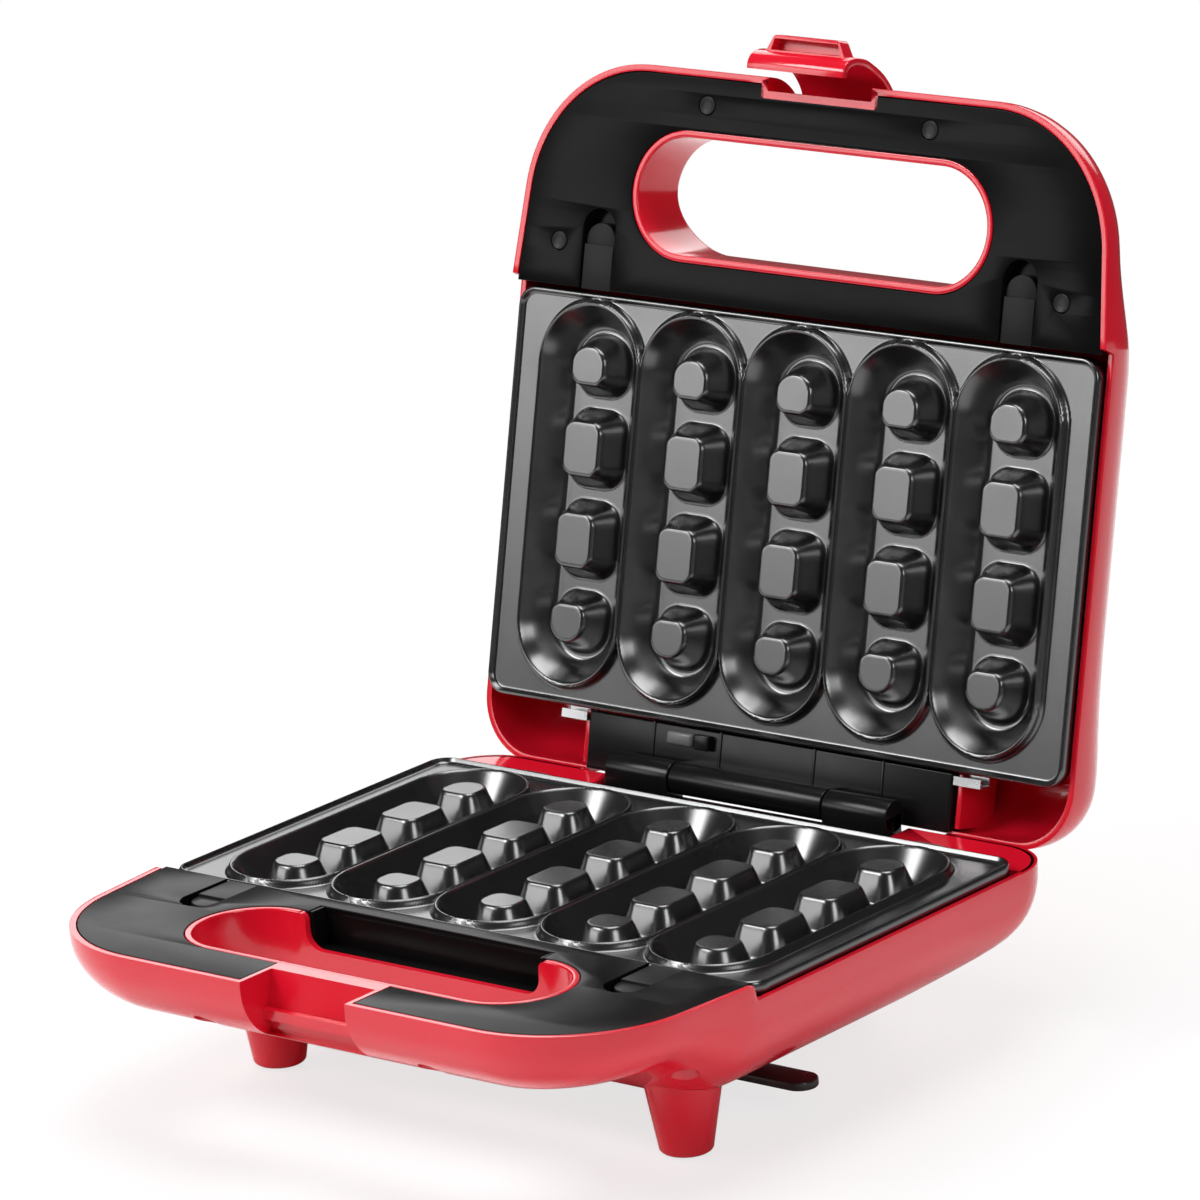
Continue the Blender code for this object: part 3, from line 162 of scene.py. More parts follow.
def plastic(name, first, second, rough, grain_scale, grain_depth, coat=0.0, spread=0.05, bend=1.5):
    """Moulded plastic: slight colour drift, uneven gloss and a fine moulded grain."""
    made, nodes, links, shader = new_material(name)
    drift = noise(nodes, links, scale=14.0, detail=3.0)
    links.new(colour_ramp(nodes, links, drift, first, second), shader.inputs["Base Color"])
    gloss = noise(nodes, links, scale=60.0, detail=4.0, rough=0.6)
    links.new(ramp(nodes, links, gloss, rough - spread, rough + spread), shader.inputs["Roughness"])
    grain = noise(nodes, links, grain_scale)
    bump(nodes, links, shader, grain, strength=0.35, distance=grain_depth)
    shader.inputs["Coat Weight"].default_value = coat
    shader.inputs["Coat Roughness"].default_value = 0.06
    shader.inputs["IOR"].default_value = bend
    return made


def metal(name, first, second, rough, scale, depth):
    """Plain sheet or drawn metal with a slight stain and a fine grain."""
    made, nodes, links, shader = new_material(name)
    drift = noise(nodes, links, scale=40.0, detail=4.0)
    links.new(colour_ramp(nodes, links, drift, first, second), shader.inputs["Base Color"])
    links.new(ramp(nodes, links, drift, rough - 0.06, rough + 0.08), shader.inputs["Roughness"])
    shader.inputs["Metallic"].default_value = 1.0
    bump(nodes, links, shader, noise(nodes, links, scale), strength=0.3, distance=depth)
    return made


def lens(name, colour):
    """Tinted clear plastic over a lamp."""
    made, nodes, links, shader = new_material(name)
    drift = noise(nodes, links, scale=120.0)
    darker = tuple(c * 0.85 for c in colour)
    links.new(colour_ramp(nodes, links, drift, colour, darker), shader.inputs["Base Color"])
    shader.inputs["Roughness"].default_value = 0.12
    shader.inputs["Transmission Weight"].default_value = 0.35
    return made


def coating():
    """Cast plate under a non-stick coat: fine orange peel, faint speckle and satin gloss."""
    made, nodes, links, shader = new_material("nonstick_coat")
    speck = noise(nodes, links, scale=2600.0, rough=0.7)
    tone = colour_ramp(nodes, links, speck, (0.003, 0.003, 0.0033), (0.011, 0.011, 0.0125), 0.52, 0.78)
    links.new(tone, shader.inputs["Base Color"])
    gloss = noise(nodes, links, scale=45.0, detail=4.0, rough=0.6)
    links.new(ramp(nodes, links, gloss, 0.22, 0.27), shader.inputs["Roughness"])
    peel = noise(nodes, links, scale=700.0, detail=3.0)
    bump(nodes, links, shader, peel, strength=0.3, distance=0.000018)
    shader.inputs["IOR"].default_value = 2.1
    return made


red = plastic(
    "red_plastic", (0.68, 0.006, 0.022), (0.74, 0.009, 0.028),
    rough=0.16, grain_scale=900.0, grain_depth=0.000006, coat=0.25, spread=0.03,
)
trim_black = plastic(
    "black_trim", (0.0035, 0.0033, 0.0034), (0.0055, 0.0052, 0.0053),
    rough=0.22, grain_scale=1500.0, grain_depth=0.000008, spread=0.03, bend=1.15,
)
hinge_black = plastic(
    "black_hinge", (0.005, 0.005, 0.0055), (0.008, 0.008, 0.0085),
    rough=0.24, grain_scale=1200.0, grain_depth=0.00001, spread=0.03, bend=1.3,
)
slider_black = plastic(
    "slider_black", (0.010, 0.010, 0.0105), (0.020, 0.020, 0.0205),
    rough=0.34, grain_scale=1500.0, grain_depth=0.00001, spread=0.03, bend=1.2,
)
wrap_black = plastic(
    "speckled_black", (0.008, 0.008, 0.008), (0.012, 0.012, 0.012),
    rough=0.30, grain_scale=1100.0, grain_depth=0.00003,
)
plug_grey = plastic(
    "grey_plug", (0.018, 0.018, 0.019), (0.027, 0.026, 0.027),
    rough=0.42, grain_scale=1500.0, grain_depth=0.00002, bend=1.3,
)
tab_grey = plastic(
    "grey_tab", (0.10, 0.10, 0.105), (0.13, 0.13, 0.135),
    rough=0.38, grain_scale=1200.0, grain_depth=0.00002,
)
rubber = plastic(
    "black_rubber", (0.012, 0.012, 0.012), (0.02, 0.02, 0.02),
    rough=0.8, grain_scale=2500.0, grain_depth=0.00006,
)
pale = plastic(
    "pale_moulding", (0.62, 0.58, 0.50), (0.70, 0.66, 0.58),
    rough=0.6, grain_scale=1500.0, grain_depth=0.00003,
)
steel = metal(
    "bright_steel", (0.56, 0.56, 0.57), (0.68, 0.68, 0.69),
    rough=0.28, scale=900.0, depth=0.00001,
)
sheath = metal(
    "element_sheath", (0.20, 0.19, 0.18), (0.30, 0.29, 0.27),
    rough=0.5, scale=900.0, depth=0.00003,
)
red_lens = lens("red_lens", (0.75, 0.02, 0.02))
green_lens = lens("green_lens", (0.03, 0.5, 0.09))
coat = coating()


# Mesh helpers


def store(name, made, side, body, look, node, angle=40.0):
    """Turn a temporary object into a piece that rides on a body and replaces a solid."""
    mesh = bake(made)
    mesh.transform(placing[side])
    mesh.materials.clear()
    mesh.materials.append(look)
    mesh.shade_smooth()
    mesh.set_sharp_from_angle(angle=math.radians(angle))
    piece = bpy.data.objects.new(name, mesh)
    bpy.context.scene.collection.objects.link(piece)
    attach(piece, body)
    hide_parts(node)


def store_red(name, made, side, body, node, angle=40.0):
    store(name, made, side, body, red, node, angle)


def store_black(name, made, side, body, look, node, angle=40.0):
    store(name, made, side, body, look, node, angle)


def held(mesh):
    """A temporary object that holds a mesh."""
    made = bpy.data.objects.new(mesh.name, mesh)
    bpy.context.scene.collection.objects.link(made)
    return made


def raw(bm, tidy=True):
    """A temporary object in the frame of its half."""
    if tidy:
        bmesh.ops.recalc_face_normals(bm, faces=bm.faces)
    mesh = bpy.data.meshes.new("raw")
    bm.to_mesh(mesh)
    bm.free()
    return held(mesh)


def bake(made):
    """Apply the modifiers and hand back the mesh; the temporary object is removed."""
    seen = made.evaluated_get(bpy.context.evaluated_depsgraph_get())
    mesh = bpy.data.meshes.new_from_object(seen)
    bpy.data.objects.remove(made, do_unlink=True)
    return mesh


def combine(target, tools):
    """Apply booleans in order, from pairs of operation and tool."""
    for operation, tool in tools:
        step = target.modifiers.new("step", "BOOLEAN")
        step.operation = operation
        step.solver = "EXACT"
        step.object = tool
    mesh = bake(target)
    for _, tool in tools:
        bpy.data.objects.remove(tool, do_unlink=True)
    return held(mesh)


def cube(low, high):
    """A block between two opposite corners."""
    size = [abs(a - b) for a, b in zip(low, high)]
    bm = bmesh.new()
    matrix = Matrix.Translation((low + high) / 2) @ Matrix.Diagonal((*size, 1.0))
    bmesh.ops.create_cube(bm, size=1.0, matrix=matrix)
    return raw(bm)


def box(x_range, u_range, depth_range, side):
    starts, ends = zip(x_range, u_range, depth_range)
    return cube(pan(*starts, side), pan(*ends, side))


def cutters(side, *rooms):
    """Box cutters, from ranges of x, u and depth in millimetres."""
    return [("DIFFERENCE", box(*[[v * mm for v in span] for span in room], side)) for room in rooms]


def rod(start, end, radius, sides=32):
    along = end - start
    matrix = Matrix.Translation((start + end) / 2) @ along.to_track_quat("Z", "Y").to_matrix().to_4x4()
    bm = bmesh.new()
    bmesh.ops.create_cone(
        bm, cap_ends=True, segments=sides, radius1=radius, radius2=radius, depth=along.length, matrix=matrix,
    )
    return raw(bm)


def post(x, u, depth_range, radius, side):
    """A round rod along the depth axis."""
    return rod(pan(x, u, depth_range[0], side), pan(x, u, depth_range[1], side), radius)


def soften(made, width, segments=3, limit=35.0):
    """Round the edges that are sharper than the limit."""
    step = made.modifiers.new("soft_edges", "BEVEL")
    step.width = width
    step.segments = segments
    step.limit_method = "ANGLE"
    step.angle_limit = math.radians(limit)
    step.use_clamp_overlap = True
    step.harden_normals = False
    return made


def arc(x, u, radius, start, end, steps):
    turn = [start + (end - start) * k / steps for k in range(steps + 1)]
    return [(x + radius * math.cos(a), u + radius * math.sin(a)) for a in turn]


def rounded(x, u, half_x, half_u, radius, steps=10):
    """A rectangle with round corners, or an obround when the radius is a half side."""
    points = []
    for sign_x, sign_u, start in ((1, -1, -90), (1, 1, 0), (-1, 1, 90), (-1, -1, 180)):
        first = math.radians(start)
        points += arc(
            x + sign_x * (half_x - radius), u + sign_u * (half_u - radius), radius,
            first, first + math.pi / 2, steps,
        )
    return [p for p, q in zip(points, points[1:] + points[:1]) if math.dist(p, q) > 0.00001]


def mirrored(right):
    """Close an outline from its right half, which runs from one end to the other."""
    return right + [(-x, v) for x, v in reversed(right)]


def slab(loops, depth_range, side, edge):
    """A flat panel with holes and softened edges, from closed outlines."""
    curve = bpy.data.curves.new("panel", "CURVE")
    curve.dimensions = "2D"
    curve.fill_mode = "BOTH"
    curve.extrude = abs(depth_range[1] - depth_range[0]) / 2 - edge
    curve.bevel_depth = edge
    curve.bevel_resolution = 2
    curve.offset = -edge
    for loop in loops:
        spline = curve.splines.new("POLY")
        spline.points.add(len(loop) - 1)
        for point, (x, u) in zip(spline.points, loop):
            point.co = (x, -u, 0.0, 1.0)
        spline.use_cyclic_u = True
    bm = bmesh.new()
    bm.from_mesh(bake(held(curve)))
    bmesh.ops.remove_doubles(bm, verts=bm.verts, dist=0.000002)
    middle = sum(depth_range) / 2
    bmesh.ops.translate(bm, verts=bm.verts, vec=(0.0, 0.0, pan(0.0, 0.0, middle, side).z))
    return raw(bm)


def loft(rings, closed=False):
    """Join rings of equal length; a closed loft runs back to its first ring."""
    bm = bmesh.new()
    made = [[bm.verts.new(p) for p in ring] for ring in rings]
    pairs = list(zip(made, made[1:]))
    if closed:
        pairs.append((made[-1], made[0]))
    for lower, upper in pairs:
        for i in range(len(lower)):
            j = (i + 1) % len(lower)
            bm.faces.new((lower[i], lower[j], upper[j], upper[i]))
    if not closed:
        bm.faces.new(made[0])
        bm.faces.new(made[-1])
    return raw(bm)


def turned(x, u, profile, side, steps):
    """A turned piece round the depth axis, from radius and depth pairs, capped at both ends."""
    turn = [2 * math.pi * k / steps for k in range(steps)]
    return loft([
        [pan(x + radius * math.cos(a), u + radius * math.sin(a), depth, side) for a in turn]
        for radius, depth in profile
    ])


def merged(*made):
    """Several temporary objects as one."""
    bm = bmesh.new()
    for one in made:
        mesh = bake(one)
        bm.from_mesh(mesh)
        bpy.data.meshes.remove(mesh)
    return raw(bm, tidy=False)


# Shells


def smooth(value):
    value = max(0.0, min(1.0, value))
    return value * value * (3 - 2 * value)


def blend(low, high, start, end, u):
    return low + (high - low) * smooth((u - start) / (end - start))


def body_depth(u, side):
    """How deep the shell is in its middle."""
    deep = base_depth if side == base_side else lid_depth
    if u > deepest_u:
        return blend(deep, handle_depth, slope_start, slope_end, u)
    return blend(back_depth, deep, ramp_start, ramp_end, u)


def stations():
    """The right half of the shell's outline: x, u, outward normal and how far its wall curves in."""
    back_inset, side_inset, handle_inset, nose_inset = 16 * mm, 45 * mm, 30 * mm, 22 * mm
    turn_length = 10 * mm
    found = []
    corner_x, corner_u = half_width - back_corner, shell_back + back_corner
    for k in range(15):
        angle = -math.pi / 2 + math.pi / 2 * k / 14
        normal = (math.cos(angle), math.sin(angle))
        place = (corner_x + back_corner * normal[0], corner_u + back_corner * normal[1])
        found.append((*place, normal, back_inset))
    side = [corner_u + (step_start - corner_u) * k / 26 for k in range(1, 27)]
    side += [step_start + (step_end - step_start) * k / 6 for k in range(1, 7)]
    for u in side:
        inset = blend(back_inset, side_inset, corner_u, ramp_end, u)
        inset = min(inset, blend(side_inset, handle_inset, slope_start, slope_end, u))
        turn = side_slant * smooth((u - slope_start) / turn_length)
        found.append((half_width, u, (math.cos(turn), math.sin(turn)), inset))
    slanted = (math.cos(side_slant), math.sin(side_slant))
    tangent_x, tangent_u = nose_x + nose_radius * slanted[0], nose_u + nose_radius * slanted[1]
    for k in range(1, 9):
        u = step_end + (tangent_u - step_end) * k / 9
        x = half_width + (tangent_x - half_width) * k / 9
        found.append((x, u, slanted, blend(side_inset, handle_inset, slope_start, slope_end, u)))
    for k in range(25):
        share = k / 24
        angle = side_slant + (math.pi / 2 - side_slant) * share
        normal = (math.cos(angle), math.sin(angle))
        inset = handle_inset + (nose_inset - handle_inset) * smooth(share)
        found.append((nose_x + nose_radius * normal[0], nose_u + nose_radius * normal[1], normal, inset))
    return found


outline = stations()


def skin(side, closed=False):
    """The shell with its wall, or a closed body half a wall inside its outer skin."""
    across, turns = 24, 14
    shrink = shell_wall / 2 if closed else 0.0
    back_straight, front_straight = 8 * mm, 3 * mm
    edge_round = 0.55 * mm
    bm = bmesh.new()

    def ring(step):
        points = []
        for x, u, normal, inset in outline:
            straight = blend(back_straight, front_straight, slope_start, slope_end, u)
            if step < 0:
                rim = blend(rim_drop, trim_depth, step_start, step_end, u)
                depth, move = (-far, shrink) if closed else (rim, 0.0)
            else:
                angle = math.pi / 2 * step / turns
                deep = body_depth(u, side) - shrink - straight
                depth = straight + deep * math.sin(angle)
                move = shrink + (inset - shrink) * (1 - math.cos(angle))
            points.append((x - normal[0] * move, u - normal[1] * move, depth))
        return points

    def row(point):
        x, u, depth = point
        return [bm.verts.new(pan(x - 2 * x * k / across, u, depth, side)) for k in range(across + 1)]

    loops = []
    for step in range(-1, turns):
        points = ring(step)
        first, last = row(points[0]), row(points[-1])
        right = [bm.verts.new(pan(*p, side)) for p in points[1:-1]]
        left = [bm.verts.new(pan(-p[0], p[1], p[2], side)) for p in points[1:-1]]
        loops.append(first[::-1] + right + last + left[::-1])
    rows = [row(point) for point in ring(turns)]
    right = [r[0] for r in rows[1:-1]]
    left = [r[-1] for r in rows[1:-1]]
    loops.append(rows[0][::-1] + right + rows[-1] + left[::-1])
    for upper, lower in zip(loops, loops[1:]):
        for i in range(len(upper)):
            j = (i + 1) % len(upper)
            bm.faces.new((upper[i], upper[j], lower[j], lower[i]))
    for near, distant in zip(rows, rows[1:]):
        for k in range(across):
            bm.faces.new((near[k], near[k + 1], distant[k + 1], distant[k]))
    if closed:
        bm.faces.new(loops[0])
        return raw(bm)
    bmesh.ops.recalc_face_normals(bm, faces=bm.faces)
    lowest = min(bm.faces, key=lambda face: side * face.calc_center_median().z)
    if lowest.normal.z * side > 0:
        bmesh.ops.reverse_faces(bm, faces=bm.faces)
    made = raw(bm, tidy=False)
    wall = made.modifiers.new("wall", "SOLIDIFY")
    wall.thickness = shell_wall
    wall.offset = -1.0
    wall.use_even_offset = True
    return held(bake(soften(made, edge_round, 3, 50.0)))


def hole_loop(grow, steps):
    """The outline of the handle hole, grown by a width."""
    half_u = hole_half_width + grow
    return rounded(0.0, hole_middle, hole_half_length + grow, half_u, half_u, steps)


def hole_tube(side):
    """The wall round the handle hole, with a round lip and a flare onto the shell's outside."""
    flare = 2.6 * mm
    wide = 2.1 * mm
    proud = 0.02 * mm
    lip = ((0.0, 1.5), (0.06, 1.2), (0.22, 0.98), (0.5, 0.9), (1.75, 0.9), (2.0, 0.98), (2.1, 1.2))

    def ring(offset, depth_of):
        return [pan(x, u, depth_of(u), side) for x, u in hole_loop(offset, 24)]

    rings = []
    for k in range(7):
        angle = math.pi / 2 * k / 6
        rings.append(ring(
            flare * (1 - math.sin(angle)),
            lambda u, a=angle: body_depth(u, side) + proud - flare * (1 - math.cos(a)),
        ))
    for offset, depth in lip:
        rings.append(ring(offset * mm, lambda u, d=depth: d * mm))
    rings.append(ring(wide, lambda u: body_depth(u, side) - 1.2 * mm))
    rings.append(ring(flare, lambda u: body_depth(u, side) - 1.0 * mm))
    return loft(rings, closed=True)


def hole_cutter(side):
    loop = hole_loop(hole_room, 24)
    return "DIFFERENCE", loft([[pan(x, u, d, side) for x, u in loop] for d in (-far, far)])


def window_cutter(side):
    """The opening in the back of the base's hole wall: it flares at the trim and has round corners."""
    deep, corner, flare, flare_top = 12 * mm, 5.5 * mm, 2.4 * mm, 1.2 * mm
    reach = (140 * mm, 172 * mm)
    right = [(window_half + flare, -far)]
    for k in range(7):
        a = math.pi / 2 * k / 6
        right.append((window_half + flare * (1 - math.sin(a)), flare_top + flare * (1 - math.cos(a))))
    for k in range(9):
        a = math.pi / 2 * k / 8
        right.append((window_half - corner * (1 - math.cos(a)), deep - corner * (1 - math.sin(a))))
    return "DIFFERENCE", loft([[pan(x, u, d, side) for x, d in mirrored(right)] for u in reach])


def recess_cutter(side):
    """The latch recess of the base, with a back wall that leans back a little."""
    top_u, floor_u, outside = 203.4 * mm, 206.3 * mm, 240.0 * mm
    lean_depth, floor_depth, above = 0.6 * mm, 11.6 * mm, -20.0 * mm
    points = [
        (top_u, above), (top_u, lean_depth), (floor_u, floor_depth),
        (outside, floor_depth), (outside, above),
    ]
    ends = (-recess_half, recess_half)
    return "DIFFERENCE", loft([[pan(x, u, d, side) for u, d in points] for x in ends])


def screw_places():
    return [(sign * x, u) for x, u in (front_screw, back_screw) for sign in (-1, 1)]


def kept_inside(made, side):
    """Trim a temporary object to the shell, as a tool that is joined to it."""
    return "UNION", combine(made, [("INTERSECT", skin(side, closed=True))])


def base_shell():
    """The red base shell with its latch recess, hinge room, screw wells and handle hole wall."""
    side = base_side
    recess = (-recess_half / mm, recess_half / mm)
    recess_front = (recess, (208.5, 240.0), (-20.0, 60.0))
    hook_slot = (recess, (205.4, 217.0), (14.8, 19.4))
    hinge_room = ((-57.0, 57.0), (-20.0, 24.0), (-20.0, 16.1))
    lid_room = ((-70.3, 70.3), (-20.0, -2.7), (-20.0, 8.5))
    right_catch = ((69.9, 81.1), (11.3, 24.0), (0.0, 10.0))
    left_catch = ((-81.1, -69.9), (11.3, 24.0), (0.0, 10.0))
    liner = ((-21.0 * mm, 21.0 * mm), (197.6 * mm, 230 * mm), (trim_depth, 20.8 * mm))
    deck = ((-half_width, half_width), (shell_back, 15.5 * mm), (rim_drop, 7.7 * mm))
    well_radius, well_wall = 4.3 * mm, 1.3 * mm
    well_floor, well_bottom = 12.9 * mm, 14.6 * mm

    tools = [kept_inside(box(*room, side), side) for room in (liner, deck)]
    for x, u in screw_places():
        tools.append(kept_inside(post(x, u, (well_floor, far), well_radius + well_wall, side), side))
    tools.append(hole_cutter(side))
    tools += cutters(side, recess_front, hook_slot, hinge_room, lid_room, right_catch, left_catch)
    for x, u in screw_places():
        tools.append(("DIFFERENCE", post(x, u, (well_bottom, far), well_radius, side)))
    tools.append(recess_cutter(side))
    store_red("lower_shell", combine(skin(side), tools), side, "base", "lower_housing", 32.0)
    tube = combine(hole_tube(side), [window_cutter(side)])
    store_red("lower_handle_rim", tube, side, "base", "lower_housing")


def lid_shell():
    """The red lid shell with the latch's pocket, the lamp holes, the handle hole wall and two ribs."""
    side = lid_side
    reach = (-22.0 * mm, 22.0 * mm)
    pocket = (reach, (197.4 * mm, 230 * mm), (3.4 * mm, far))
    face = (reach, (211.1 * mm, 230 * mm), (trim_depth, 3.7 * mm))
    recess = (-recess_half / mm, recess_half / mm)
    notch = (recess, (213.4, 240.0), (-20.0, 60.0))
    latch_room = (recess, (199.8, 240.0), (4.8, 60.0))
    hinge_room = ((-70.0, 70.0), (-20.0, -1.8), (-20.0, 12.0))
    pin_half, pin_u, pin_depth, pin_radius = 22.3 * mm, 203 * mm, 13.8 * mm, 1.55 * mm
    lamp_x, lamp_u, lamp_depth, lamp_radius = 12 * mm, 122 * mm, 30 * mm, 4.3 * mm
    rib_x, rib_half = 71.6 * mm, 0.9 * mm
    rib_u, rib_depth, rib_round = (-1.6 * mm, 15.2 * mm), (5.9 * mm, 24 * mm), 0.3 * mm

    tools = [kept_inside(box(*room, side), side) for room in (pocket, face)]
    tools.append(hole_cutter(side))
    tools += cutters(side, notch, latch_room, hinge_room)
    pin = rod(pan(-pin_half, pin_u, pin_depth, side), pan(pin_half, pin_u, pin_depth, side), pin_radius)
    tools.append(("DIFFERENCE", pin))
    for sign in (-1, 1):
        tools.append(("DIFFERENCE", post(sign * lamp_x, lamp_u, (lamp_depth, far), lamp_radius, side)))
    store_red("upper_shell", combine(skin(side), tools), side, "lid", "upper_housing", 32.0)
    store_red("upper_handle_rim", hole_tube(side), side, "lid", "upper_housing")
    for sign in (-1, 1):
        x = sign * rib_x
        rib = soften(box((x - rib_half, x + rib_half), rib_u, rib_depth, side), rib_round)
        store_red(f"lid_rib_{hand_of[sign]}", rib, side, "lid", "upper_housing")


def feet():
    """Round tapering feet, with rounded bottoms and a seat for the rubber pads."""
    floor_level = closing + hinge_z
    low_radius, low_level = 8.1, 2.1
    high_radius, high_level = 11.6, 22.0
    taper = (high_radius - low_radius) / (high_level - low_level)
    bottom = [(5.7, 2.0), (5.7, 0.7), (6.3, 0.5), (7.1, 0.62), (7.7, 1.05), (8.05, 1.6)]
    for row, x, u, height in (("front", 77.4, 138.5, 28.0), ("back", 42.0, 15.0, 36.0)):
        levels = (2.2, 8.0, 15.0, high_level, height)
        profile = bottom + [(low_radius + taper * (z - low_level), z) for z in levels]
        rings = [(r * mm, floor_level - z * mm) for r, z in profile]
        for sign in (-1, 1):
            foot = turned(sign * x * mm, u * mm, rings, base_side, 48)
            store_red(f"foot_{row}_{hand_of[sign]}", foot, base_side, "base", "lower_housing", 30.0)


# Trims


def trim_outline(side):
    """The trim's outline with slots for the releases. The base trim is open at the latch recess."""
    inset = shell_wall + 0.25 * mm
    recess_edge, notch_edge, notch_u = 21.3 * mm, 20.8 * mm, 211.2 * mm
    window_edge, window_u = window_half + 0.2 * mm, 152.4 * mm
    front = [(x - n[0] * inset, u - n[1] * inset) for x, u, n, _ in outline if u > step_end + 0.1 * mm]
    front_u = front[-1][1]
    right = [(release_x + slot_half, trim_back), (half_width - inset, trim_back)] + front
    if side == base_side:
        grow = hole_half_width + hole_lip
        right += [(recess_edge, front_u), (recess_edge, hole_middle + grow)]
        right += arc(hole_half_length - hole_half_width, hole_middle, grow, math.pi / 2, -math.pi / 2, 40)
        right += [(window_edge, hole_middle - grow), (window_edge, window_u)]
    else:
        right += [(notch_edge, front_u), (notch_edge, notch_u)]
    right_slot = arc(release_x, slot_tip - slot_half, slot_half, math.pi, 0.0, 14)
    left_slot = [(-x, u) for x, u in reversed(right_slot)]
    slot_ends = [(-release_x + slot_half, trim_back), (release_x - slot_half, trim_back)]
    return mirrored(right) + left_slot + slot_ends + right_slot


def channel(sign, side):
    """The black tray under a release slot: its walls and its floor."""
    x = sign * release_x
    wall, edge = 1.4 * mm, 0.1 * mm
    walls = (trim_depth + trim_thick - 0.3 * mm, 6.2 * mm)
    floor = (5.1 * mm, 6.6 * mm)

    def pocket(grow):
        half = slot_half + grow
        tip = arc(x, slot_tip - slot_half, half, 0.0, math.pi, 14)
        return [(x + half, trim_back)] + tip + [(x - half, trim_back)]

    sides = slab([pocket(wall) + list(reversed(pocket(0.0)))], walls, side, edge)
    return sides, slab([pocket(wall)], floor, side, edge)


def window_tray(side):
    """The black lining behind the window of the base's handle hole."""
    back, front, near = 151.0 * mm, 157.9 * mm, 152.4 * mm
    floor_top, floor_low = 12.2 * mm, 13.4 * mm
    end_wall, edge = 1.2 * mm, 0.2 * mm
    span = (-window_half, window_half)
    made = [
        box(span, (back, near), (trim_depth + 0.3 * mm, floor_low), side),
        box(span, (back, front), (floor_top, floor_low), side),
    ]
    for sign in (-1, 1):
        ends = sorted((sign * window_half, sign * (window_half - end_wall)))
        made.append(box(ends, (back, front), (trim_depth + 0.2 * mm, floor_low), side))
    return [soften(one, edge) for one in made]


def make_trim(side):
    plug_hole = 3.05 * mm
    edge = 0.3 * mm
    loops = [trim_outline(side)]
    if side == lid_side:
        loops.append(hole_loop(hole_lip, 20))
        loops += [arc(x, u, plug_hole, 0.0, 2 * math.pi * 31 / 32, 31) for x, u in screw_places()]
    made = [slab(loops, (trim_depth, trim_depth + trim_thick), side, edge)]
    for sign in (-1, 1):
        made += channel(sign, side)
    if side == base_side:
        made += window_tray(side)
    node = label_of[side] + "_handle_trim"
    store_black(node + "_panel", merged(*made), side, body_of[side], trim_black, node, 35.0)


# Plates: the relief is worked out in millimetres

plate_half, plate_back, plate_front, plate_corner = 110.5, 15.9, 145.0, 6.5
plate_middle = (plate_front + plate_back) / 2
plate_half_u = (plate_front - plate_back) / 2
cavity_pitch, cavity_half, cavity_half_length, cavity_middle = 40.0, 19.0, 59.5, 82.0
stud_rows = ((-40.4, 6.4, 5.85, 1), (-14.35, 7.0, 8.35, 0), (14.35, 7.0, 8.35, 0), (40.4, 6.4, 5.85, -1))


def ease_low(a, b, k):
    """Smooth minimum of two depth fields."""
    h = np.clip(0.5 + 0.5 * (b - a) / k, 0.0, 1.0)
    return b + (a - b) * h - k * h * (1 - h)


def ease_high(a, b, k):
    return -ease_low(-a, -b, k)


def box_distance(x, u, half_x, half_u, radius):
    """Signed distance to a rectangle with round corners."""
    qx, qu = np.abs(x) - half_x + radius, np.abs(u) - half_u + radius
    outside = np.hypot(np.maximum(qx, 0.0), np.maximum(qu, 0.0))
    return outside + np.minimum(np.maximum(qx, qu), 0.0) - radius


def plate_depth(x, u):
    """Depth of the plate's cooking face for arrays of places."""
    flange, ridge_top, cavity_floor = 3.4, 0.85, 10.4
    cavity_slope, ridge_slope, ridge_width = 1.39, 2.3, 0.75
    stud_top, stud_slope, stud_corner, stud_round = 0.9, 2.45, 3.7, 5.8
    rim_top, rim_slope, rim_width, edge_round = 1.9, 2.4, 1.15, 0.7
    mouth = np.full_like(x, 1e3)
    studs = np.full_like(x, 1e3)
    for k in range(5):
        near = x - (k - 2) * cavity_pitch
        run = np.maximum(np.abs(u - cavity_middle) - (cavity_half_length - cavity_half), 0.0)
        mouth = np.minimum(mouth, np.hypot(near, run) - cavity_half)
        for offset, half_x, half_u, flat in stud_rows:
            v = u - cavity_middle - offset
            away = box_distance(near, v, half_x, half_u, stud_corner)
            if flat:
                away = np.where(v * flat > 0, away, box_distance(near, v, half_x, half_u, stud_round))
            studs = np.minimum(studs, ease_high(stud_top, stud_top + stud_slope * away, 1.0))
    inner = ease_low(ease_high(ridge_top, ridge_top - cavity_slope * mouth, 0.4), cavity_floor, 1.5)
    outer = ease_high(ridge_top, ridge_top + ridge_slope * (mouth - ridge_width), 0.4)
    depth = np.where(mouth < 0.45, ease_low(inner, studs, 1.1), ease_low(outer, flange, 0.6))
    edge = -box_distance(x, u - plate_middle, plate_half, plate_half_u, plate_corner)
    depth = ease_low(depth, ease_high(rim_top, rim_top + rim_slope * (edge - rim_width), 0.4), 0.5)
    over = np.clip((edge_round - edge) / edge_round, 0.0, 1.0)
    return depth + edge_round * (1 - np.sqrt(1 - over * over))


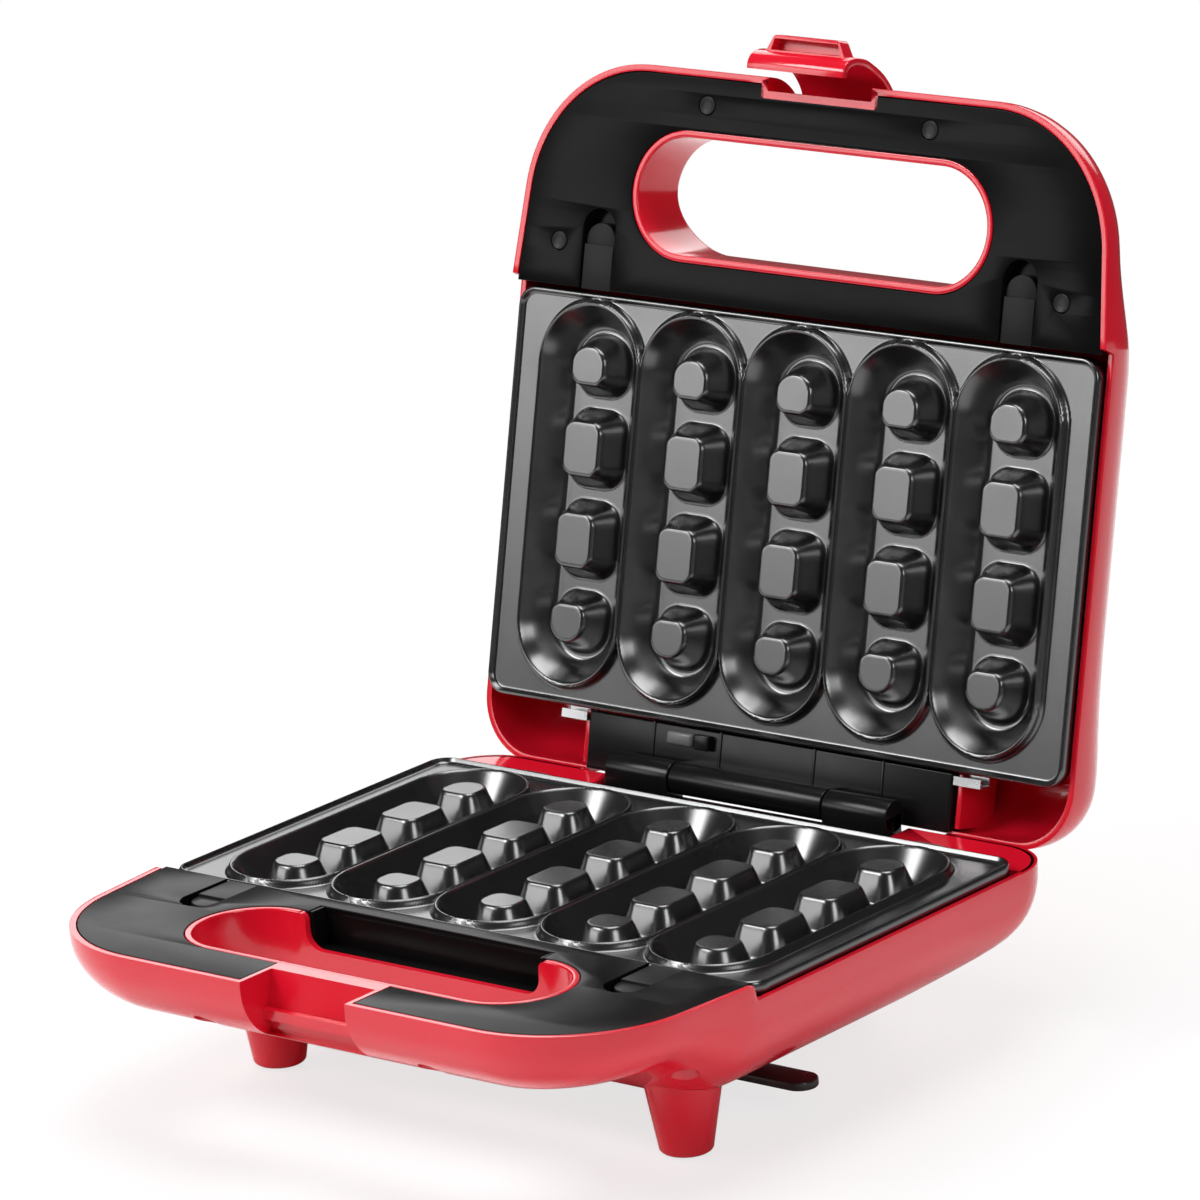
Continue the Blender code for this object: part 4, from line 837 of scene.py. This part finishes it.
def plate_grid():
    """A grid over the plate whose outer lines bend round its corners."""
    step = 0.5
    xs = np.linspace(-plate_half, plate_half, round(2 * plate_half / step) + 1)
    us = np.linspace(plate_back, plate_front, round(2 * plate_half_u / step) + 1)
    x, u = np.meshgrid(xs, us, indexing="ij")
    corner_x = np.clip(x, -plate_half + plate_corner, plate_half - plate_corner)
    corner_u = np.clip(u, plate_back + plate_corner, plate_front - plate_corner)
    off_x, off_u = x - corner_x, u - corner_u
    reach = np.hypot(off_x, off_u)
    big = np.maximum(np.abs(off_x), np.abs(off_u))
    shrink = np.where(reach > 1e-9, big / np.maximum(reach, 1e-9), 1.0)
    return corner_x + off_x * shrink, corner_u + off_u * shrink


def make_plate(side):
    """The coated plate as a fine relief with its side wall and turned-in foot."""
    wall_rings = ((0.0, 6.0), (0.35, 6.5), (1.6, 6.5), (1.6, 5.2))
    x, u = plate_grid()
    points = np.stack([x * mm, -u * mm, closing - side * plate_depth(x, u) * mm], -1).reshape(-1, 3)
    index = np.arange(x.size).reshape(x.shape)
    quads = np.stack([index[:-1, :-1], index[1:, :-1], index[1:, 1:], index[:-1, 1:]], -1).reshape(-1, 4)
    border = list(index[:, 0]) + list(index[-1, 1:]) + list(index[-2::-1, -1]) + list(index[0, -2:0:-1])
    border = [int(i) for i in border]
    centre = np.array([0.0, -plate_middle * mm])
    rows, faces = [points], quads.tolist()
    start, previous = len(points), border
    for inset, level in wall_rings:
        ring = points[border].copy()
        toward = centre - ring[:, :2]
        edge_x = np.abs(ring[:, 0]) > (plate_half - plate_corner) * mm
        edge_u = np.abs(ring[:, 1] - centre[1]) > (plate_half_u - plate_corner) * mm
        move = np.stack([np.sign(toward[:, 0]) * edge_x, np.sign(toward[:, 1]) * edge_u], -1)
        move /= np.maximum(np.hypot(move[:, 0], move[:, 1]), 1e-9)[:, None]
        ring[:, :2] += move * inset * mm
        ring[:, 2] = closing - side * level * mm
        rows.append(ring)
        loop = list(range(start, start + len(border)))
        for i in range(len(border)):
            j = (i + 1) % len(border)
            faces.append([previous[i], previous[j], loop[j], loop[i]])
        start, previous = start + len(border), loop
    mesh = bpy.data.meshes.new("relief")
    mesh.from_pydata(np.concatenate(rows).tolist(), [], faces)
    mesh.update()
    bm = bmesh.new()
    bm.from_mesh(mesh)
    bmesh.ops.recalc_face_normals(bm, faces=bm.faces)
    bm.faces.ensure_lookup_table()
    if sum(bm.faces[i].normal.z for i in range(200)) * side < 0:
        bmesh.ops.reverse_faces(bm, faces=bm.faces)
    node = label_of[side] + "_plate"
    relief = raw(bm, tidy=False)
    store(node + "_relief", relief, side, body_of[side], coat, node, 55.0)


# Latch, laid out in the closed lid's frame, in millimetres


def latch_point(x, u, z):
    return Vector((x * mm, -u * mm, z * mm - hinge_z))


def smooth_path(points, steps=6):
    """Points along a smooth curve through a few u, z points."""
    fine = []
    last = len(points) - 1
    for i in range(last):
        around = [points[min(max(k, 0), last)] for k in (i - 1, i, i + 1, i + 2)]
        for k in range(steps):
            t = k / steps
            fine.append(tuple(
                0.5 * (
                    2 * b + (c - a) * t + (2 * a - 5 * b + 4 * c - d) * t * t
                    + (3 * b - a - 3 * c + d) * t ** 3
                )
                for a, b, c, d in zip(*around)
            ))
    fine.append(points[-1])
    return fine


def band(path, thick, half_of):
    """A strip with round edges that follows a path and is as wide as half_of says."""
    edge = 0.45
    rings = []
    for i, (u, z) in enumerate(path):
        before, after = path[max(i - 1, 0)], path[min(i + 1, len(path) - 1)]
        du, dz = after[0] - before[0], after[1] - before[1]
        length = math.hypot(du, dz)
        half = half_of(i / (len(path) - 1))
        ring = []
        for sign_x, up, first in ((1, 1, 0), (-1, 1, 90), (-1, -1, 180), (1, -1, 270)):
            for s in range(4):
                a = math.radians(first + 30 * s)
                x = sign_x * (half - edge) + edge * math.cos(a)
                off = up * (thick / 2 - edge) + edge * math.sin(a)
                ring.append(latch_point(x, u - dz / length * off, z + du / length * off))
        rings.append(ring)
    return loft(rings)


def latch_grip():
    """The finger grip in front of the latch, hollow from below."""
    root_half, tip_half, root_u, tip_u = 15.4, 12.6, 225.2, 231.0
    low, high, roof, below, corner = 52.15, 56.75, 0.8, 2.0, 1.6
    edge = 0.45 * mm
    bend = math.radians(20)
    wide = [(-root_half, root_u), (root_half, root_u)]
    wide += arc(tip_half - 1.4, tip_u - corner, corner, bend, math.pi / 2, 6)
    wide += arc(-tip_half + 1.4, tip_u - corner, corner, math.pi / 2, math.pi - bend, 6)
    grip = loft([[latch_point(x, u, z) for x, u in wide] for z in (low, high)])
    mouth = ((-13.2, 226.3), (13.2, 226.3), (12.0, 230.0), (-12.0, 230.0))
    ceiling = ((-13.0, 226.5), (13.0, 226.5), (11.8, 229.8), (-11.8, 229.8))
    pocket = loft([
        [latch_point(x, u, low - below) for x, u in mouth],
        [latch_point(x, u, high - roof) for x, u in ceiling],
    ])
    return soften(combine(grip, [("DIFFERENCE", pocket)]), edge, 3, 30.0)


def make_latch():
    """The bent latch arm with its hook bar, pivot barrel and finger grip."""
    pivot_u, pivot_z, barrel_half, barrel_radius = 203.0, 74.0, 17.6, 2.75
    arm_thick, arm_half, hook_half = 2.2, 17.4, 18.3
    path = [
        (203.6, 74.6), (207.6, 77.2), (212.3, 77.1), (216.6, 74.4), (220.4, 70.0), (223.3, 64.4),
        (225.0, 58.6), (225.2, 53.6), (224.2, 50.3), (222.3, 48.7), (220.2, 48.6),
    ]

    def half_of(share):
        return arm_half + (hook_half - arm_half) * smooth((share - 0.5) / 0.12)

    arm = band(smooth_path(path), arm_thick, half_of)
    ends = [latch_point(x, pivot_u, pivot_z) for x in (-barrel_half, barrel_half)]
    barrel = soften(rod(*ends, barrel_radius * mm, 40), 0.4 * mm)
    store_red("latch_arm", merged(arm, barrel, latch_grip()), lid_side, "latch", "latch", 42.0)


# Hinge, releases and small pieces


def make_hinge():
    """The bracket on the base and the lid's panel, tab and stop, in millimetres round the hinge axis."""
    knuckle_radius, knuckle_edge = 5.0, 0.35
    outer_knuckle, middle_knuckle = (29.8, 54.0), 29.2
    bracket_bar = ((-56.5, -5.0, -14.0), (56.5, 4.2, -7.5))
    bracket_flange = ((-56.5, -15.0, -9.5), (56.5, -4.7, -7.5))
    housing_panel = ((-69.7, -15.3, 5.8), (69.7, 3.0, 13.5))
    housing_neck = ((-middle_knuckle, -5.0, 0.5), (middle_knuckle, 1.5, 7.0))
    rib_places, rib_half = (-44.0, -18.0, 18.0, 44.0), 0.5
    tab_corners = ((-37.0, -13.6, 2.6), (-27.2, -9.4, 6.4))
    stop_corners = ((-26.9, -13.8, 3.4), (-21.2, -9.0, 6.4))

    def at(x, y, z):
        return Vector((x * mm, y * mm, z * mm))

    def block(low, high, edge):
        return soften(cube(at(*low), at(*high)), edge * mm)

    def knuckle(start, end):
        bar = rod(at(start, 0, 0), at(end, 0, 0), knuckle_radius * mm, 64)
        return soften(bar, knuckle_edge * mm)

    made = [block(*bracket_bar, 0.4), block(*bracket_flange, 0.3)]
    for sign in (-1, 1):
        start, end = sorted(sign * x for x in outer_knuckle)
        made.append(block((start, -5.0, -8.0), (end, 3.2, 0.5), 0.3))
        made.append(knuckle(start, end))
    store_black("hinge_bracket_detail", merged(*made), base_side, "base", hinge_black, "hinge_bracket", 35.0)

    made = [block(*housing_panel, 0.6), block(*housing_neck, 0.4)]
    made.append(knuckle(-middle_knuckle, middle_knuckle))
    for x in rib_places:
        made.append(block((x - rib_half, -15.5, 5.5), (x + rib_half, 2.0, 6.4), 0.2))
    tab = block(*tab_corners, 0.9)
    stop = block(*stop_corners, 0.5)
    node = "lid_hinge_housing"
    store_black("lid_hinge_panel", merged(*made), lid_side, "lid", hinge_black, node, 35.0)
    store_black("lid_hinge_tab", tab, lid_side, "lid", tab_grey, node)
    store_black("lid_hinge_stop", stop, lid_side, "lid", hinge_black, node)


def make_release(side, sign):
    """A sliding release: a round-ended tongue with a low step across it and a lug below."""
    x = sign * release_x
    half, tip, tail, step = 5.7 * mm, 167.1 * mm, 146.1 * mm, 160.2 * mm
    tongue, raised = (2.3 * mm, 4.3 * mm), (1.5 * mm, 2.8 * mm)
    lug_half, lug_u, lug_depth = 1.6 * mm, (151.5 * mm, 153.3 * mm), (4.0 * mm, 9.8 * mm)
    whole = [(x + half, tail)] + arc(x, tip - half, half, 0.0, math.pi, 20) + [(x - half, tail)]
    square = [(x + half, tail), (x + half, step), (x - half, step), (x - half, tail)]
    made = merged(
        slab([whole], tongue, side, 0.3 * mm),
        slab([square], raised, side, 0.2 * mm),
        box((x - lug_half, x + lug_half), lug_u, lug_depth, side),
    )
    node = f"{label_of[side]}_release_{hand_of[sign]}"
    store_black(node + "_tongue", made, side, node + "_body", slider_black, node, 35.0)


def make_plugs():
    """Round plugs in the lid trim, dished in the middle."""
    profile = [(0.9, 1.05), (2.1, 1.02), (2.35, 0.8), (2.6, 0.74), (2.8, 0.9), (2.85, 1.2), (2.85, 2.7)]
    rings = [(r * mm, d * mm) for r, d in profile]
    for row, (x, u) in (("front", front_screw), ("back", back_screw)):
        for sign in (-1, 1):
            plug = turned(sign * x, u, rings, lid_side, 40)
            node = f"screw_plug_{row}_{hand_of[sign]}"
            store(node + "_cap", plug, lid_side, "lid", plug_grey, node, 50.0)


def make_wrap():
    """The cord wrap under the base: a bar with rounded ends on a block."""
    side = base_side
    floor_level = closing + hinge_z
    wrap_u, bar_half, bar_half_u = 96 * mm, 92.5 * mm, 5.5 * mm
    top, low, block_top = floor_level - 11.2 * mm, floor_level - 8.4 * mm, floor_level - 16.9 * mm
    block_half, block_half_u = 46 * mm, 5.5 * mm
    screw_x, screw_radius = 32 * mm, 1.75 * mm
    bar = slab([rounded(0.0, wrap_u, bar_half, bar_half_u, bar_half_u, 12)], (top, low), side, 0.6 * mm)
    span = (wrap_u - block_half_u, wrap_u + block_half_u)
    block = soften(box((-block_half, block_half), span, (block_top, top + 0.3 * mm), side), 0.3 * mm)
    sinks = (low - 1.0 * mm, low + 2.0 * mm)
    holes = [("DIFFERENCE", post(sign * screw_x, wrap_u, sinks, screw_radius, side)) for sign in (-1, 1)]
    made = merged(combine(bar, holes), block)
    store_black("cord_wrap_bar", made, side, "base", wrap_black, "cord_wrap")


base_shell()
lid_shell()
feet()
for half_side in (base_side, lid_side):
    make_trim(half_side)
    make_plate(half_side)
make_latch()
make_hinge()
for half_side in (base_side, lid_side):
    for hand in (-1, 1):
        make_release(half_side, hand)
make_plugs()
make_wrap()

# Carried-over solids get the finished materials

looks = {
    "bright_steel": steel, "element_sheath": sheath, "black_rubber": rubber, "pale_moulding": pale,
    "red_lens": red_lens, "green_lens": green_lens, "black_trim_plastic": hinge_black,
    "grey_plug": plug_grey, "red_gloss_plastic": red, "black_nonstick_coating": coat,
}
for entry in frame["record"]["subparts"]:
    node = frame["nodes"][entry["node"]]
    node.data.materials.clear()
    node.data.materials.append(looks[entry["material_slot"]])

# Floor: for the camera it turns plain white towards its edge, where it meets the white behind it

floor_half = 0.9
floor_drop = 0.0002
shade_start, shade_end = 0.30, 0.72
glow_near, glow_edge = 0.74, 1.0
white = (1.0, 1.0, 1.0, 1.0)

pale_floor, nodes, links, shader = new_material("pale_floor")
drift = noise(nodes, links, scale=3.0)
tone = colour_ramp(nodes, links, drift, (0.90, 0.90, 0.90), (0.93, 0.93, 0.93))
links.new(tone, shader.inputs["Base Color"])
shader.inputs["Roughness"].default_value = 0.65
paths = nodes.new("ShaderNodeLightPath")
glow = nodes.new("ShaderNodeEmission")
glow.inputs["Color"].default_value = white
glow.inputs["Strength"].default_value = 1.0
mix = nodes.new("ShaderNodeMixShader")
share = nodes.new("ShaderNodeMath")
share.operation = "MULTIPLY"
place = nodes.new("ShaderNodeTexCoord")
away = nodes.new("ShaderNodeVectorMath")
away.operation = "LENGTH"
links.new(place.outputs["Object"], away.inputs[0])
fade = ramp(nodes, links, away.outputs["Value"], glow_near, glow_edge, shade_start, shade_end)
links.new(fade, share.inputs[1])
links.new(paths.outputs["Is Camera Ray"], share.inputs[0])
links.new(share.outputs["Value"], mix.inputs["Fac"])
links.new(shader.outputs["BSDF"], mix.inputs[1])
links.new(glow.outputs["Emission"], mix.inputs[2])
links.new(mix.outputs["Shader"], nodes["Material Output"].inputs["Surface"])
bm = bmesh.new()
bmesh.ops.create_grid(bm, x_segments=2, y_segments=2, size=floor_half)
floor = raw(bm)
floor.name = "floor"
floor.location.z = -floor_drop
floor.data.materials.append(pale_floor)

# World: white for the camera, dim for everything else

world = bpy.data.worlds.new("studio")
bpy.context.scene.world = world
world.use_nodes = True
nodes, links = world.node_tree.nodes, world.node_tree.links
plain = nodes["Background"]
plain.inputs["Color"].default_value = white
plain.inputs["Strength"].default_value = 0.07
seen = nodes.new("ShaderNodeBackground")
seen.inputs["Color"].default_value = white
seen.inputs["Strength"].default_value = 1.0
paths = nodes.new("ShaderNodeLightPath")
mix = nodes.new("ShaderNodeMixShader")
links.new(paths.outputs["Is Camera Ray"], mix.inputs["Fac"])
links.new(plain.outputs["Background"], mix.inputs[1])
links.new(seen.outputs["Background"], mix.inputs[2])
links.new(mix.outputs["Shader"], nodes["World Output"].inputs["Surface"])

# Lamps: soft boxes that all face the part

aim = Vector((0.0, 0.02, 0.12))
lamps = {
    "key": ((-1.3, -1.7, 1.9), (1.2, 0.9), 40.0),
    "front": ((-1.5, -1.72, 0.72), (1.1, 0.7), 9.5),
    "fill": ((2.1, -0.9, 1.2), (0.9, 0.9), 14.0),
    "back": ((-1.0, 2.2, 1.5), (3.0, 1.6), 38.0),
    "top": ((0.1, 0.2, 2.3), (1.5, 1.2), 34.0),
}
for name, (lamp_place, lamp_size, power) in lamps.items():
    lamp = bpy.data.lights.new(name, "AREA")
    lamp.shape = "RECTANGLE"
    lamp.size, lamp.size_y = lamp_size
    lamp.energy = power
    softbox = bpy.data.objects.new(name, lamp)
    softbox.location = lamp_place
    softbox.rotation_euler = (aim - Vector(lamp_place)).to_track_quat("-Z", "Y").to_euler()
    bpy.context.scene.collection.objects.link(softbox)

# Camera, at the photograph's viewing angle

camera_place = Vector((1342.2516, -1640.0393, 742.6124)) * mm
camera_azimuth = math.radians(39.206)
camera_elevation = math.radians(15.9133)
camera_roll = math.radians(-3.3589)

scene = bpy.context.scene
scene.view_settings.view_transform = "Standard"
camera = bpy.data.cameras.new("camera")
camera.sensor_width = 36.0
camera.lens = 223.209
camera.clip_end = 50.0
eye = bpy.data.objects.new("camera", camera)
eye.matrix_world = (
    Matrix.Translation(camera_place)
    @ Matrix.Rotation(camera_azimuth, 4, "Z")
    @ Matrix.Rotation(math.pi / 2 - camera_elevation, 4, "X")
    @ Matrix.Rotation(camera_roll, 4, "Z")
)
scene.collection.objects.link(eye)
scene.camera = eye
